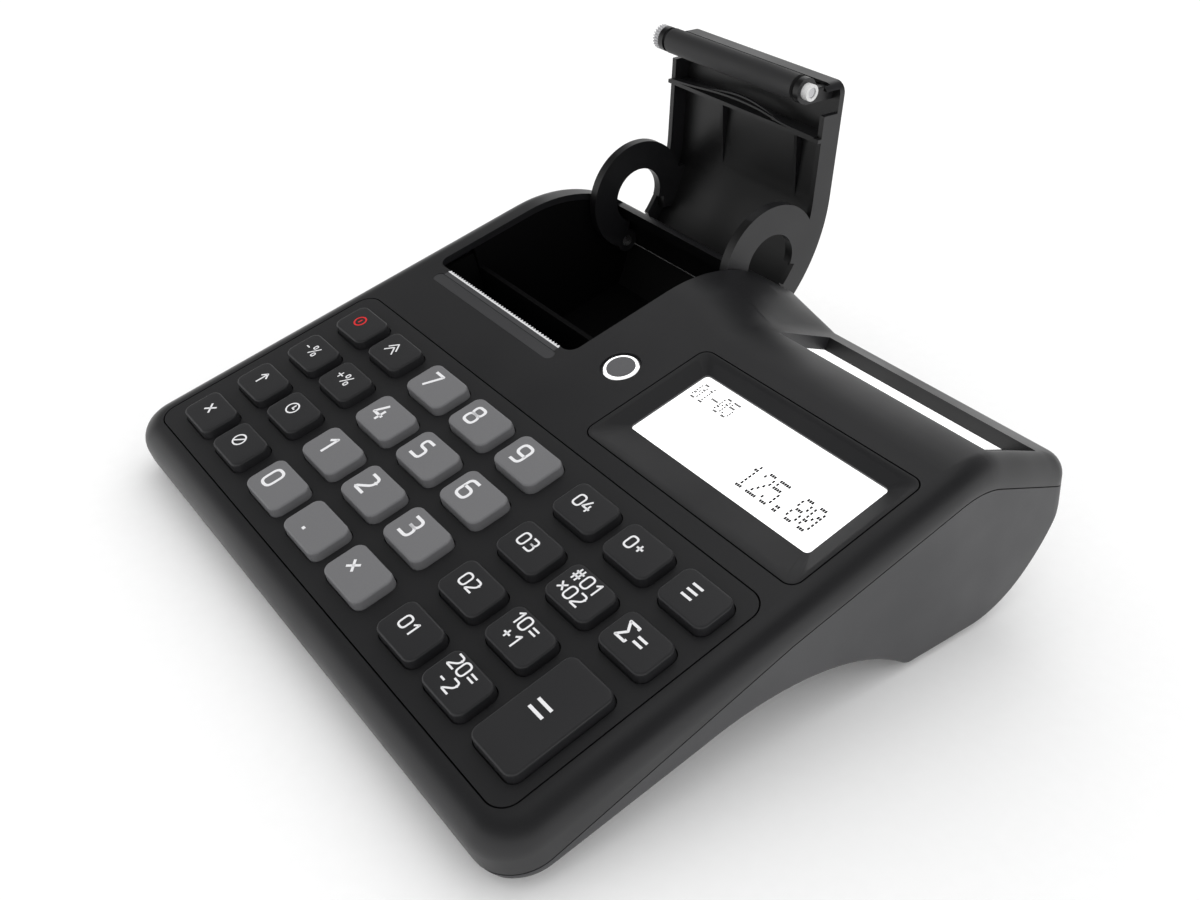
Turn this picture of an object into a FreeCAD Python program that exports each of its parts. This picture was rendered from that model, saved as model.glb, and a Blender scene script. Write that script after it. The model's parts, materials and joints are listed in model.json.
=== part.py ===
import FreeCAD, Part
import math
import os
import re

import Sketcher
from FreeCAD import Placement, Rotation, Vector

# A portable ticket register: a wedge-shaped case with a keypad, two displays and a paper
# bay under a hinged cover. Pieces are drawn in the keypad's own frame: X to the right,
# Y up the keypad towards the back, Z out of the keypad, with the origin in the middle of
# the keypad on its upper face. Each placement then tilts a piece to the desk.

# Driving dimensions in millimetres and degrees
SIZES = (
    ("tilt_angle", 17.0, "slope of the keypad against the desk, degrees"),
    ("desk_drop", 29.1, "height of the keypad's middle above the desk"),
    ("case_width", 193.0, "width over the side walls"),
    ("front_reach", 44.5, "keypad middle to the front wall"),
    ("rear_reach", 136.0, "keypad middle to the rear wall"),
    ("wall", 2.2, "thickness of both shells"),
    ("shoulder_radius", 6.8, "rounding along the top edges"),
    ("inner_shoulder", 3.0, "rounding along the inside of the top edges"),
    ("front_corner", 12.0, "upright rounding of the front corners"),
    ("rear_corner", 7.2, "upright rounding of the rear corners"),
    ("belly_depth", 15.0, "case thickness at the front wall"),
    ("belly_round", 5.0, "rounding under the front edge"),
    ("belly_slope", 2.4, "how much deeper the belly is where the arch starts"),
    ("arch_front", 8.0, "keypad middle to the start of the underside arch"),
    ("arch_middle", 45.0, "keypad middle to the middle of the arch"),
    ("arch_rise", 26.7, "depth of the arch at its middle"),
    ("base_front", 72.5, "keypad middle to the front of the flat base"),
    ("base_rear", 105.0, "keypad middle to the rear of the flat base"),
    ("base_lift", 1.5, "height of the flat base above the desk"),
    ("stern_middle", 125.4, "keypad middle to the middle of the stern curve"),
    ("stern_depth", 49.9, "depth of the stern curve at its middle"),
    ("stern_top", 31.0, "depth at which the rear wall turns into the stern"),
    ("stern_round", 26.0, "rounding between the stern and the flat base"),
    ("base_round", 4.0, "rounding between the flat base and the arch"),
    ("under_round", 2.0, "rounding along the lower side edges"),
    ("crest_radius", 30.0, "rounding of the crest beside the bay"),
    ("crest_start", 92.0, "keypad middle to the start of that crest"),
    ("rear_slope", 36.2, "fall of the rear face against the keypad, degrees"),
    ("hump_radius", 50.0, "rounding of the crest over the bay"),
    ("hump_start", 97.0, "keypad middle to the start of that crest"),
    ("hump_edge", -4.0, "where the bay's hump starts to fall to the right"),
    ("hump_foot", 14.0, "where it has reached the rear face"),
    ("seam_front", 12.0, "depth of the shells' seam along the front"),
    ("seam_side", 7.0, "depth of the seam along the sides"),
    ("seam_knee", 36.0, "keypad middle to the place where the seam has risen"),
    ("seam_gap", 0.4, "visible slit along the seam"),
    ("lip_height", 2.0, "height of the locating lip behind the seam"),
    ("lip_wall", 1.0, "thickness of the locating lip"),
    ("fit_gap", 0.3, "clearance round a piece that slides or drops in"),
    ("groove", 0.4, "slit round the keypad and the display frame"),
    ("seat_gap", 0.05, "clearance of a piece pressed or set in its seat"),
    ("overrun", 4.0, "how far a cutting solid runs past a face"),
    ("panel_width", 177.2, "keypad panel"),
    ("panel_height", 73.4, "keypad panel"),
    ("panel_corner", 5.0, "keypad panel"),
    ("frame_flange", 1.9, "flange under the shell round the panel and the frame"),
    ("flange_thick", 1.0, "thickness of that flange"),
    ("gray_centre", -8.9, "middle column of the number keys"),
    ("gray_pitch", 21.93, "number key columns"),
    ("black_pitch", 19.85, "function key columns"),
    ("left_gap", 23.12, "second to third column"),
    ("right_gap", 24.57, "fifth to sixth column"),
    ("key_pitch", 17.0, "key rows"),
    ("number_wide", 16.9, "number key top"),
    ("number_high", 11.9, "number key top"),
    ("function_wide", 15.7, "function key top"),
    ("function_high", 11.3, "function key top"),
    ("number_corner", 2.6, "upright rounding of a number key"),
    ("key_corner", 2.6, "upright rounding of a function key"),
    ("key_flare", 0.1, "how far a key's foot stands out past its top"),
    ("key_rise", 2.8, "key top above the panel"),
    ("key_edge", 0.7, "rounding of a key's top edge"),
    ("key_flange", 0.8, "retaining flange round a key"),
    ("stem_radius", 2.2, "key plunger"),
    ("mat_depth", 6.0, "top of the switch mat"),
    ("mat_thick", 2.0, "switch mat, and the travel of a key into its wells"),
    ("board_thick", 1.6, "circuit boards"),
    ("skirt_side", 0.8, "panel edge to the outside of its skirt, sideways"),
    ("skirt_wall", 1.6, "skirt under the panel"),
    ("frame_x", 51.1, "middle of the display frame"),
    ("frame_y", 64.9, "middle of the display frame"),
    ("frame_width", 76.2, "display frame"),
    ("frame_height", 43.1, "display frame"),
    ("frame_corner", 3.0, "display frame"),
    ("frame_land", 0.8, "flat border of the display frame"),
    ("frame_deep", 4.2, "depth of the display frame"),
    ("window_width", 64.6, "display window"),
    ("window_height", 27.5, "display window"),
    ("window_shift_x", -0.3, "window middle against the frame middle"),
    ("window_shift_y", 2.9, "window middle against the frame middle"),
    ("window_corner", 1.4, "display window"),
    ("window_depth", 2.6, "depth of the window's edge"),
    ("glass_depth", 3.2, "depth of the display glass"),
    ("glass_border", 1.7, "glass past the window"),
    ("module_border", 3.0, "display board past the glass"),
    ("button_x", 0.0, "release button"),
    ("button_y", 66.5, "release button"),
    ("button_radius", 4.1, "release button"),
    ("button_travel", 1.5, "release button"),
    ("button_stem", 2.5, "release button stem radius"),
    ("button_deep", 7.0, "release button depth below the case top"),
    ("ring_radius", 4.9, "light ring"),
    ("dish_radius", 5.9, "round recess that the ring stands in"),
    ("dish_deep", 0.7, "round recess that the ring stands in"),
    ("ring_flange", 7.0, "light ring's flange under the shell"),
    ("bay_left", -86.0, "paper bay opening"),
    ("bay_right", -15.6, "paper bay opening"),
    ("bay_front", 60.6, "paper bay opening"),
    ("bay_corner", 3.5, "paper bay opening"),
    ("cutter_left", -78.7, "tear blade"),
    ("cutter_width", 58.5, "tear blade"),
    ("cutter_deep", 2.6, "tear blade, front to teeth"),
    ("cutter_thick", 0.6, "tear blade"),
    ("cutter_tooth", 0.7, "height of a tooth"),
    ("cutter_pitch", 1.3, "spacing of the teeth"),
    ("cutter_reach", 0.2, "teeth past the bay's edge"),
    ("scoop_front", 54.4, "finger groove before the blade"),
    ("scoop_deep", 0.8, "finger groove before the blade"),
    ("bin_front", 75.5, "front wall of the paper bin, inside"),
    ("bin_floor", 46.5, "depth of the bin's floor"),
    ("bin_wall", 1.5, "paper bin"),
    ("bin_lip", 9.6, "depth of the top of the bin's front wall"),
    ("hinge_y", 129.5, "cover hinge axis"),
    ("hinge_depth", 27.8, "cover hinge axis below the keypad plane"),
    ("open_angle", 104.5, "turn of the cover from shut to the stop, degrees"),
    ("pin_radius", 2.0, "hinge pins"),
    ("pin_length", 6.6, "hinge pins"),
    ("cover_gap", 0.4, "cover to the sides of its opening"),
    ("cover_thick", 2.0, "cover panel"),
    ("cover_rear", 130.5, "rear edge of the shut cover"),
    ("cover_side", 7.6, "depth of the cover's side walls"),
    ("cover_side_wall", 1.8, "cover side walls"),
    ("cover_lip", 5.0, "depth of the cover's front lip"),
    ("cover_corner", 3.5, "front corners of the cover"),
    ("sweep_radius", 13.0, "hinge axis to the nearest swept edge of the cover"),
    ("bar_radius", 12.2, "hinge axis to the top of the rear bar"),
    ("bar_front", 131.0, "front of the rear bar"),
    ("bar_deep", 20.0, "underside of the rear bar"),
    ("arm_centre_y", 113.65, "middle of the hooked hinge arm, shut"),
    ("arm_centre_depth", 23.6, "middle of the hooked hinge arm, shut"),
    ("arm_outer", 19.0, "hinge arm"),
    ("arm_inner", 9.5, "hinge arm"),
    ("arm_thick", 3.0, "hinge arm"),
    ("arm_tail", -19.5, "direction of the arm's hinged end, degrees"),
    ("arm_mouth", 74.5, "direction of the arm's fixed end, degrees"),
    ("arm_boss", 4.0, "round end of the arm at the pin"),
    ("gusset_front", 107.0, "web between arm and cover"),
    ("gusset_rear", 121.0, "web between arm and cover"),
    ("gusset_deep", 12.0, "web between arm and cover"),
    ("platen_setback", 1.1, "cover front edge to the roller axis"),
    ("platen_depth", 13.4, "roller axis below the cover's outer face"),
    ("roller_radius", 4.0, "platen roller"),
    ("shaft_radius", 1.5, "platen shaft"),
    ("ear_thick", 2.0, "ears that hold the platen"),
    ("ear_radius", 4.2, "ears that hold the platen"),
    ("ear_inset", 3.1, "cover edge to the outside of an ear"),
    ("bush_radius", 2.5, "platen bush collar"),
    ("bush_neck", 2.2, "platen bush in its ear"),
    ("bush_collar", 2.2, "width of the bush collar"),
    ("gear_width", 2.4, "gears"),
    ("gear_module", 0.3, "gears"),
    ("gear_gap", 0.3, "tip clearance of the platen gear over the drive gear"),
    ("rib_place", 77.0, "cross rib inside the cover"),
    ("rib_deep", 9.0, "cross rib inside the cover"),
    ("rib_thick", 1.2, "ribs inside the cover"),
    ("rib_rear", 102.0, "rear end of the long ribs"),
    ("rib_left", 21.6, "cover edge to the left long rib"),
    ("rib_right", 55.7, "cover edge to the right long rib"),
    ("rib_low", 5.0, "depth of the long ribs"),
    ("mech_front", 49.2, "printer frame cross plate"),
    ("mech_wall", 1.2, "printer frame"),
    ("mech_rear", 73.4, "printer frame"),
    ("mech_top", 4.0, "printer frame"),
    ("mech_floor", 31.0, "printer frame"),
    ("head_gap", 0.2, "print head to the roller, cover shut"),
    ("head_thick", 3.0, "print head"),
    ("head_top", 6.0, "print head"),
    ("head_floor", 18.4, "print head"),
    ("head_travel", 0.6, "sprung travel of the print head"),
    ("motor_radius", 4.0, "feed motor"),
    ("motor_length", 18.0, "feed motor"),
    ("motor_shaft", 0.75, "feed motor shaft"),
    ("motor_bearing", -170.0, "direction of the motor from the drive gear, degrees"),
    ("rear_window_start", -2.1, "crest to the near edge of the rear window, along the slope"),
    ("rear_window_long", 24.2, "rear window along the slope"),
    ("rear_window_left", 18.6, "rear window"),
    ("rear_window_right", 81.8, "rear window at its glass"),
    ("rear_window_flare", 90.4, "rear window at the case's surface"),
    ("rear_window_deep", 4.0, "depth of the rear window"),
    ("collar_wall", 1.6, "collar round the rear window"),
    ("post_radius", 3.0, "screw posts"),
    ("screw_radius", 1.5, "case screws"),
    ("screw_head", 2.8, "case screws"),
    ("screw_head_thick", 2.0, "case screws"),
    ("screw_length", 10.0, "case screws"),
    ("foot_radius", 6.0, "rubber feet"),
    ("foot_front", -31.0, "front feet, along the keypad"),
    ("foot_rear", 86.0, "rear feet, along the keypad"),
    ("foot_front_x", 74.0, "front feet, from the middle"),
    ("foot_rear_x", 80.0, "rear feet, from the middle"),
    ("foot_tall", 12.0, "length of a foot before the case trims it"),
    ("battery_x", 32.0, "battery pack, middle"),
    ("battery_y", 85.3, "battery pack, middle"),
    ("battery_wide", 68.0, "battery pack"),
    ("battery_deep", 22.6, "battery pack, front to back"),
    ("battery_tall", 16.0, "battery pack"),
    ("door_border", 3.0, "battery door inside the pack's outline"),
    ("socket_y", 50.0, "power socket on the left wall"),
    ("socket_depth", 17.0, "power socket on the left wall"),
    ("socket_nose", 4.0, "power socket"),
    ("socket_bore", 2.75, "power socket"),
    ("socket_bore_deep", 7.4, "power socket"),
    ("socket_side", 11.0, "power socket body"),
    ("socket_long", 6.4, "power socket body"),
    ("main_x", 46.0, "main board, middle"),
    ("main_y", 68.0, "main board, middle"),
    ("main_wide", 82.0, "main board"),
    ("main_high", 44.0, "main board"),
    ("main_depth", 15.4, "main board"),
    ("header_wide", 40.0, "board connector"),
    ("header_high", 5.0, "board connector"),
)

NAMES = {name for name, value, note in SIZES}

doc = FreeCAD.newDocument("TicketRegister")
sheet = doc.addObject("Spreadsheet::Sheet", "Sizes")
for row, (name, value, note) in enumerate(SIZES, 1):
    sheet.set("A%d" % row, name)
    sheet.set("B%d" % row, str(value))
    sheet.set("C%d" % row, note)
    sheet.setAlias("B%d" % row, name)
home = doc.addObject("Spreadsheet::Sheet", "Home")
home.set("A1", "home_y")
home.set("B1", "0")
home.setAlias("B1", "home_y")
doc.recompute()


# Reading and binding sizes

def size(text):
    """The value of an expression in the sheet's names."""
    return float(getattr(sheet.evalExpression(text), "Value", sheet.evalExpression(text)))


def bound(text):
    """The same expression as another object of the document writes it."""

    def full(match):
        word = match.group()
        return "Sizes." + word if word in NAMES else word

    return re.sub(r"[a-z][a-z_]*", full, text)


def bind(target, prop, text):
    target.setExpression(prop, bound(text).replace("home_y", "Home.home_y"))


WALL = size("wall")
TILT = size("tilt_angle")
HALF = size("case_width / 2")
# Two places nearer to each other than this count as one
TOUCH = 0.01
# How much of the wall each point of the underside moves by when the outline is inset
STERN_SHARE = 0.7
BASE_SHARE = 0.8
ARCH_SHARES = (0.5, 0.9)


# Placing pieces

def place(piece, x="0", y="0", z="0", turn="tilt_angle"):
    """Put a piece's own origin at a point of the keypad frame, tilted to the desk."""
    piece.Placement = Placement(Vector(0, 0, 0), Rotation(Vector(1, 0, 0), size(turn)))
    bind(piece, ".Placement.Base.x", x)
    bind(piece, ".Placement.Base.y", "home_y + (%s) * cos(tilt_angle) - (%s) * sin(tilt_angle)" % (y, z))
    bind(piece, ".Placement.Base.z", "desk_drop + (%s) * sin(tilt_angle) + (%s) * cos(tilt_angle)" % (y, z))
    bind(piece, ".Placement.Rotation.Angle", turn)


HINGE = ("0", "hinge_y", "-hinge_depth", "tilt_angle")
NODES = []


def node(piece, label):
    piece.Label = label
    NODES.append(piece)
    return piece


def new_body(label, x="0", y="0", z="0", turn="tilt_angle"):
    body = doc.addObject("PartDesign::Body", label)
    place(body, x, y, z, turn)
    return node(body, label)


def feature(label, shape, frame=("0", "0", "0", "tilt_angle")):
    """A piece from a finished solid, which may have been moved into place."""
    piece = doc.addObject("Part::Feature", label)
    piece.Shape = shape if shape.Placement.isIdentity() else Part.makeCompound([shape])
    place(piece, *frame)
    return node(piece, label)


# Sketches and pads

def new_sketch(body, name, role="XY_Plane", height="0", x="0", y="0"):
    sketch = body.newObject("Sketcher::SketchObject", body.Name + "_" + name)
    plane = [f for f in body.Origin.OriginFeatures if f.Role == role][0]
    sketch.AttachmentSupport = [(plane, "")]
    sketch.MapMode = "FlatFace"
    bind(sketch, ".AttachmentOffset.Base.x", x)
    bind(sketch, ".AttachmentOffset.Base.y", y)
    bind(sketch, ".AttachmentOffset.Base.z", height)
    return sketch


def rounded_rectangle(sketch, wide, high, radius):
    """A rectangle with round corners, centred on the sketch's origin."""
    a, b, r = size(wide) / 2, size(high) / 2, size(radius)
    corners = ((a - r, b - r, 0), (r - a, b - r, 1), (r - a, r - b, 2), (a - r, r - b, 3))
    ends = []
    for cx, cy, quarter in corners:
        start = quarter * math.pi / 2
        circle = Part.Circle(Vector(cx, cy, 0), Vector(0, 0, 1), r)
        sketch.addGeometry(Part.ArcOfCircle(circle, start, start + math.pi / 2), False)
        turns = (start, start + math.pi / 2)
        ends.append([Vector(cx + r * math.cos(t), cy + r * math.sin(t), 0) for t in turns])
    for k in range(4):
        sketch.addGeometry(Part.LineSegment(ends[k][1], ends[(k + 1) % 4][0]), False)
    for k in range(4):
        sketch.addConstraint(Sketcher.Constraint("Tangent", k, 2, 4 + k, 1))
        sketch.addConstraint(Sketcher.Constraint("Tangent", 4 + k, 2, (k + 1) % 4, 1))
    for k, way in enumerate(("Horizontal", "Vertical", "Horizontal", "Vertical")):
        sketch.addConstraint(Sketcher.Constraint(way, 4 + k))
    for k in range(1, 4):
        sketch.addConstraint(Sketcher.Constraint("Equal", 0, k))
    sketch.addConstraint(Sketcher.Constraint("Symmetric", 4, 1, 6, 1, -1, 1))
    add_size(sketch, Sketcher.Constraint("Radius", 0, r), radius)
    add_size(sketch, Sketcher.Constraint("DistanceX", 5, 1, 7, 1, 2 * a), wide)
    add_size(sketch, Sketcher.Constraint("DistanceY", 6, 1, 4, 1, 2 * b), high)
    return sketch


def add_size(sketch, constraint, text):
    index = sketch.addConstraint(constraint)
    bind(sketch, "Constraints[%d]" % index, text)


def circle(sketch, radius):
    sketch.addGeometry(Part.Circle(Vector(0, 0, 0), Vector(0, 0, 1), size(radius)), False)
    sketch.addConstraint(Sketcher.Constraint("Coincident", 0, 3, -1, 1))
    add_size(sketch, Sketcher.Constraint("Radius", 0, size(radius)), radius)
    return sketch


def pad(body, sketch, length):
    made = body.newObject("PartDesign::Pad", sketch.Name + "_pad")
    made.Profile = sketch
    bind(made, "Length", length)
    return made


def pocket(body, sketch, length):
    """Cut downwards from the sketch, against its normal."""
    made = body.newObject("PartDesign::Pocket", sketch.Name + "_pocket")
    made.Profile = sketch
    bind(made, "Length", length)
    return made


def block(body, name, wide, high, radius, low, thick, x="0", y="0"):
    sketch = new_sketch(body, name, height=low, x=x, y=y)
    rounded_rectangle(sketch, wide, high, radius)
    return pad(body, sketch, thick)


def hollow(body, name, wide, high, radius, top, deep, x="0", y="0"):
    sketch = new_sketch(body, name, height=top, x=x, y=y)
    rounded_rectangle(sketch, wide, high, radius)
    return pocket(body, sketch, deep)


def disc(body, name, radius, low, thick, x="0", y="0", role="XY_Plane"):
    sketch = new_sketch(body, name, role=role, height=low, x=x, y=y)
    circle(sketch, radius)
    return pad(body, sketch, thick)


def bore(body, name, radius, top, deep, x="0", y="0"):
    sketch = new_sketch(body, name, height=top, x=x, y=y)
    circle(sketch, radius)
    return pocket(body, sketch, deep)


def repeat(body, cut, steps):
    """Repeat a cut along X and Y; steps gives the length and the count for each way."""
    many = body.newObject("PartDesign::MultiTransform", cut.Name + "_grid")
    ways = []
    for axis, (length, count) in zip(("H_Axis", "V_Axis"), steps):
        if count == 1:
            continue
        way = body.newObject("PartDesign::LinearPattern", cut.Name + "_" + axis)
        way.Direction = (cut.Profile[0], [axis])
        bind(way, "Length", length)
        way.Occurrences = count
        ways.append(way)
    many.Originals = [cut]
    many.Transformations = ways
    body.Tip = many
    return many


def round_edges(body, chosen, radius):
    """Fillet the tip's edges that a test on their end points picks."""
    doc.recompute()
    tip = body.Tip
    edges = tip.Shape.Edges
    picked = []
    for number, edge in enumerate(edges, 1):
        if all(chosen(vertex.Point) for vertex in edge.Vertexes):
            picked.append("Edge%d" % number)
    made = body.newObject("PartDesign::Fillet", body.Name + "_fillet")
    made.Base = (tip, picked)
    bind(made, "Radius", radius)
    return made


# Plain solids in the keypad frame

def box(x0, x1, y0, y1, z0, z1):
    return Part.makeBox(x1 - x0, y1 - y0, z1 - z0, Vector(x0, y0, z0))


def rod(radius, x0, x1, y, z):
    """A cylinder along X."""
    return Part.makeCylinder(radius, x1 - x0, Vector(x0, y, z), Vector(1, 0, 0))


def post(radius, x, y, z0, z1):
    return Part.makeCylinder(radius, z1 - z0, Vector(x, y, z0))


def level(shape):
    """Turn a solid drawn level with the desk into the keypad frame."""
    turned = shape.copy()
    turned.translate(Vector(0, 0, -size("desk_drop")))
    turned.rotate(Vector(0, 0, 0), Vector(1, 0, 0), -TILT)
    return turned


def line(x, a, b):
    return Part.LineSegment(Vector(x, *a), Vector(x, *b)).toShape()


def arc(x, a, b, c):
    return Part.Arc(Vector(x, *a), Vector(x, *b), Vector(x, *c)).toShape()


def extrude(edges, length):
    return Part.Face(Part.Wire(edges)).extrude(Vector(length, 0, 0))


# The case's outline

def hump_point(y, inset):
    r = size("hump_radius") - inset
    reach = y - size("hump_start")
    return (y, math.sqrt(r * r - reach * reach) - size("hump_radius"))


def slope_tangent(inset):
    """Where the rounded crest beside the bay runs out into the rear slope."""
    a = math.radians(size("rear_slope"))
    r = size("crest_radius") - inset
    return (size("crest_start") + r * math.sin(a), r * math.cos(a) - size("crest_radius"))


def slope_height(y, inset):
    ty, tz = slope_tangent(inset)
    return tz - (y - ty) * math.tan(math.radians(size("rear_slope")))


def base_height(y, inset):
    """The flat base is level with the desk."""
    rise = size("base_lift") + inset - size("desk_drop")
    return rise / math.cos(math.radians(TILT)) - y * math.tan(math.radians(TILT))


def base_ends(inset):
    """The rear and front ends of the flat base."""
    rear = size("base_rear")
    front = size("base_front") + inset * BASE_SHARE
    return (rear, base_height(rear, inset)), (front, base_height(front, inset))


def upper_edges(x, kind, inset, first):
    """The top of the case from a given place back to the rear wall, and its last point."""
    rear = size("rear_reach") - inset
    if kind == "hump":
        start = size("hump_start")
        middle = hump_point((start + size("hinge_y")) / 2, inset)
        quarter = hump_point((start + middle[0]) / 2, inset)
        late = hump_point((middle[0] + rear) / 2, inset)
        last = hump_point(rear, inset)
        edges = [line(x, (first, -inset), (start, -inset)), arc(x, (start, -inset), quarter, middle)]
        return edges + [arc(x, middle, late, last)], last
    start = size("crest_start")
    half = math.radians(size("rear_slope") / 2)
    r = size("crest_radius") - inset
    middle = (start + r * math.sin(half), r * math.cos(half) - size("crest_radius"))
    tangent = slope_tangent(inset)
    last = (rear, slope_height(rear, inset))
    edges = [line(x, (first, -inset), (start, -inset)), arc(x, (start, -inset), middle, tangent)]
    return edges + [line(x, tangent, last)], last


def case_profile(x, kind, inset):
    front = inset - size("front_reach")
    edges, last = upper_edges(x, kind, inset, front)
    stern = (size("rear_reach") - inset, -size("stern_top"))
    stern_middle = (size("stern_middle") - inset * STERN_SHARE, inset * STERN_SHARE - size("stern_depth"))
    base_rear, base_front = base_ends(inset)
    arch_middle = (size("arch_middle") + inset * ARCH_SHARES[0], inset * ARCH_SHARES[1] - size("arch_rise"))
    arch_front = (size("arch_front"), inset - size("belly_depth + belly_slope"))
    belly = inset - size("belly_depth")
    r = size("belly_round") - inset
    turn = r * (1 - math.sqrt(0.5))
    edges += [line(x, last, stern), arc(x, stern, stern_middle, base_rear), line(x, base_rear, base_front)]
    edges += [arc(x, base_front, arch_middle, arch_front), line(x, arch_front, (front + r, belly))]
    edges += [arc(x, (front + r, belly), (front + turn, belly + turn), (front, belly + r))]
    edges += [line(x, (front, belly + r), (front, -inset))]
    return edges


def hump_flank(inset):
    """The ramp from the bay's hump down to the rear slope."""
    first = size("base_front")
    floor = -size("stern_top")
    foot = (size("rear_reach") - inset, floor)
    wires = []
    for kind, x in (("hump", size("hump_edge")), ("slope", size("hump_foot"))):
        edges, last = upper_edges(x, kind, inset, first)
        edges += [line(x, last, foot), line(x, foot, (first, floor))]
        edges += [line(x, (first, floor), (first, -inset))]
        wires.append(Part.Wire(edges))
    return Part.makeLoft(wires, True, True)


def plan_block(inset):
    """The case seen from above, with its upright corners rounded."""
    half = HALF - inset
    front = inset - size("front_reach")
    rear = size("rear_reach") - inset
    deep = size("rear_reach")
    block_shape = box(-half, half, front, rear, -deep, size("overrun"))
    for y, radius in ((front, "front_corner"), (rear, "rear_corner")):
        upright = [e for e in block_shape.Edges if all(abs(v.Y - y) < TOUCH for v in e.Vertexes)
                   and e.BoundBox.XLength < TOUCH and e.BoundBox.ZLength > deep / 2]
        block_shape = block_shape.makeFillet(size(radius) - inset, upright)
    return block_shape


def soften_base(solid, inset):
    """Round the edges at both ends of the flat base, where the stern and the arch begin."""
    for name, (y, z) in zip(("stern_round", "base_round"), base_ends(inset)):
        middles = [(edge, edge.CenterOfMass) for edge in solid.Edges]
        picked = [edge for edge, middle in middles if abs(middle.y - y) < TOUCH and abs(middle.z - z) < TOUCH]
        solid = solid.makeFillet(max(size(name) - inset, size("fit_gap")), picked)
    return solid


def case_solid(inset, shoulder, under=0):
    """The whole outside of the case, or the inside when it is inset by the wall."""
    half = HALF - inset
    solid = extrude(case_profile(-half, "slope", inset), 2 * half)
    solid = solid.multiFuse([extrude(case_profile(-half, "hump", inset), half + size("hump_edge")),
                             hump_flank(inset)]).removeSplitter()
    solid = soften_base(solid, inset).common(plan_block(inset)).removeSplitter()
    front = inset - size("front_reach")
    rear = size("rear_reach") - inset
    rim = []
    for edge in solid.Edges:
        middle = edge.CenterOfMass
        span = edge.BoundBox
        on_wall = any(abs(d) < TOUCH for d in (abs(middle.x) - half, middle.y - front, middle.y - rear))
        on_corner = span.XLength > TOUCH and span.YLength > TOUCH
        upright = span.XLength < TOUCH and span.YLength < TOUCH
        behind = middle.y > size("crest_start") and middle.z > TOUCH - size("stern_top")
        if (on_wall or on_corner) and not upright and (middle.z > -inset - TOUCH or behind):
            rim.append(edge)
    solid = solid.makeFillet(shoulder, rim)
    if not under:
        return solid
    lower = []
    for edge in solid.Edges:
        middle = edge.CenterOfMass
        low = middle.z < -size("belly_depth") and edge.BoundBox.YLength > TOUCH
        if low and abs(abs(middle.x) - half) < TOUCH:
            lower.append(edge)
    return solid.makeFillet(under, lower)


def above_seam(lift):
    """Everything over the seam between the shells, the seam moved up by lift."""
    half = HALF + size("overrun")
    front = -size("front_reach + overrun")
    rear = size("rear_reach + overrun")
    side = lift - size("seam_side")
    low = lift - size("seam_front")
    start = size("crest_start")
    radius = size("crest_radius") - size("seam_side")
    a = math.radians(size("rear_slope"))
    middle = (start + radius * math.sin(a / 2), side - radius + radius * math.cos(a / 2))
    end = (start + radius * math.sin(a), side - radius + radius * math.cos(a))
    last = (rear, end[1] - (rear - end[0]) * math.tan(a))
    knee = -size("front_reach") + size("front_corner")
    edges = [line(-half, (front, low), (knee, low)), line(-half, (knee, low), (size("seam_knee"), side)),
             line(-half, (size("seam_knee"), side), (start, side)), arc(-half, (start, side), middle, end),
             line(-half, end, last), line(-half, last, (rear, size("overrun"))),
             line(-half, (rear, size("overrun")), (front, size("overrun"))),
             line(-half, (front, size("overrun")), (front, low))]
    return extrude(edges, 2 * half)


OUTER = case_solid(0, size("shoulder_radius"))
ROUND_UNDER = case_solid(0, size("shoulder_radius"), size("under_round"))
INNER = case_solid(WALL, size("inner_shoulder"))
ABOVE = above_seam(0)


# Places that several pieces share

def column(number):
    """The X of a key column, 1 to 8, as an expression."""
    if number <= 2:
        return "gray_centre - gray_pitch - left_gap - black_pitch * %d" % (2 - number)
    if number <= 5:
        return "gray_centre + gray_pitch * %d" % (number - 4)
    return "gray_centre + gray_pitch + right_gap + black_pitch * %d" % (number - 6)


def key_row(number):
    return "key_pitch * (%s - 2.5)" % number


# name, column, row, kind
KEYS = (
    ("key_clear", 1, 1, "function"), ("key_alternate", 1, 2, "function"),
    ("key_minus_percent", 1, 3, "function"), ("key_power", 1, 4, "function"),
    ("key_void", 2, 1, "function"), ("key_clock", 2, 2, "function"),
    ("key_plus_percent", 2, 3, "function"), ("key_paper_feed", 2, 4, "function"),
    ("key_0", 3, 1, "number"), ("key_1", 3, 2, "number"),
    ("key_4", 3, 3, "number"), ("key_7", 3, 4, "number"),
    ("key_point", 4, 1, "number"), ("key_2", 4, 2, "number"),
    ("key_5", 4, 3, "number"), ("key_8", 4, 4, "number"),
    ("key_quantity", 5, 1, "number"), ("key_3", 5, 2, "number"),
    ("key_6", 5, 3, "number"), ("key_9", 5, 4, "number"),
    ("key_group_01", 6, 1, "function"), ("key_group_02", 6, 2, "function"),
    ("key_group_03", 6, 3, "function"), ("key_group_04", 6, 4, "function"),
    ("key_pay_second", 7, 1, "function"), ("key_pay_first", 7, 2, "function"),
    ("key_lookup", 7, 3, "function"), ("key_shift", 7, 4, "function"),
    ("key_total", 8, 1.5, "total"), ("key_subtotal", 8, 3, "function"),
    ("key_mode", 8, 4, "function"),
)
# The same keys as grids: first column, first row, columns, rows, kind
GROUPS = (
    (1, 1, 2, 4, "function"), (3, 1, 3, 4, "number"), (6, 1, 2, 4, "function"),
    (8, 1.5, 1, 1, "total"), (8, 3, 1, 2, "function"),
)
TOP_SIZES = {
    "number": ("number_wide", "number_high", "number_corner"),
    "function": ("function_wide", "function_high", "key_corner"),
    "total": ("function_wide", "(function_high + key_pitch)", "key_corner"),
}


def group_steps(across, columns, rows):
    last = column(across + columns - 1)
    return (("(%s) - (%s)" % (last, column(across)), columns), ("key_pitch * %d" % (rows - 1), rows))


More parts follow.
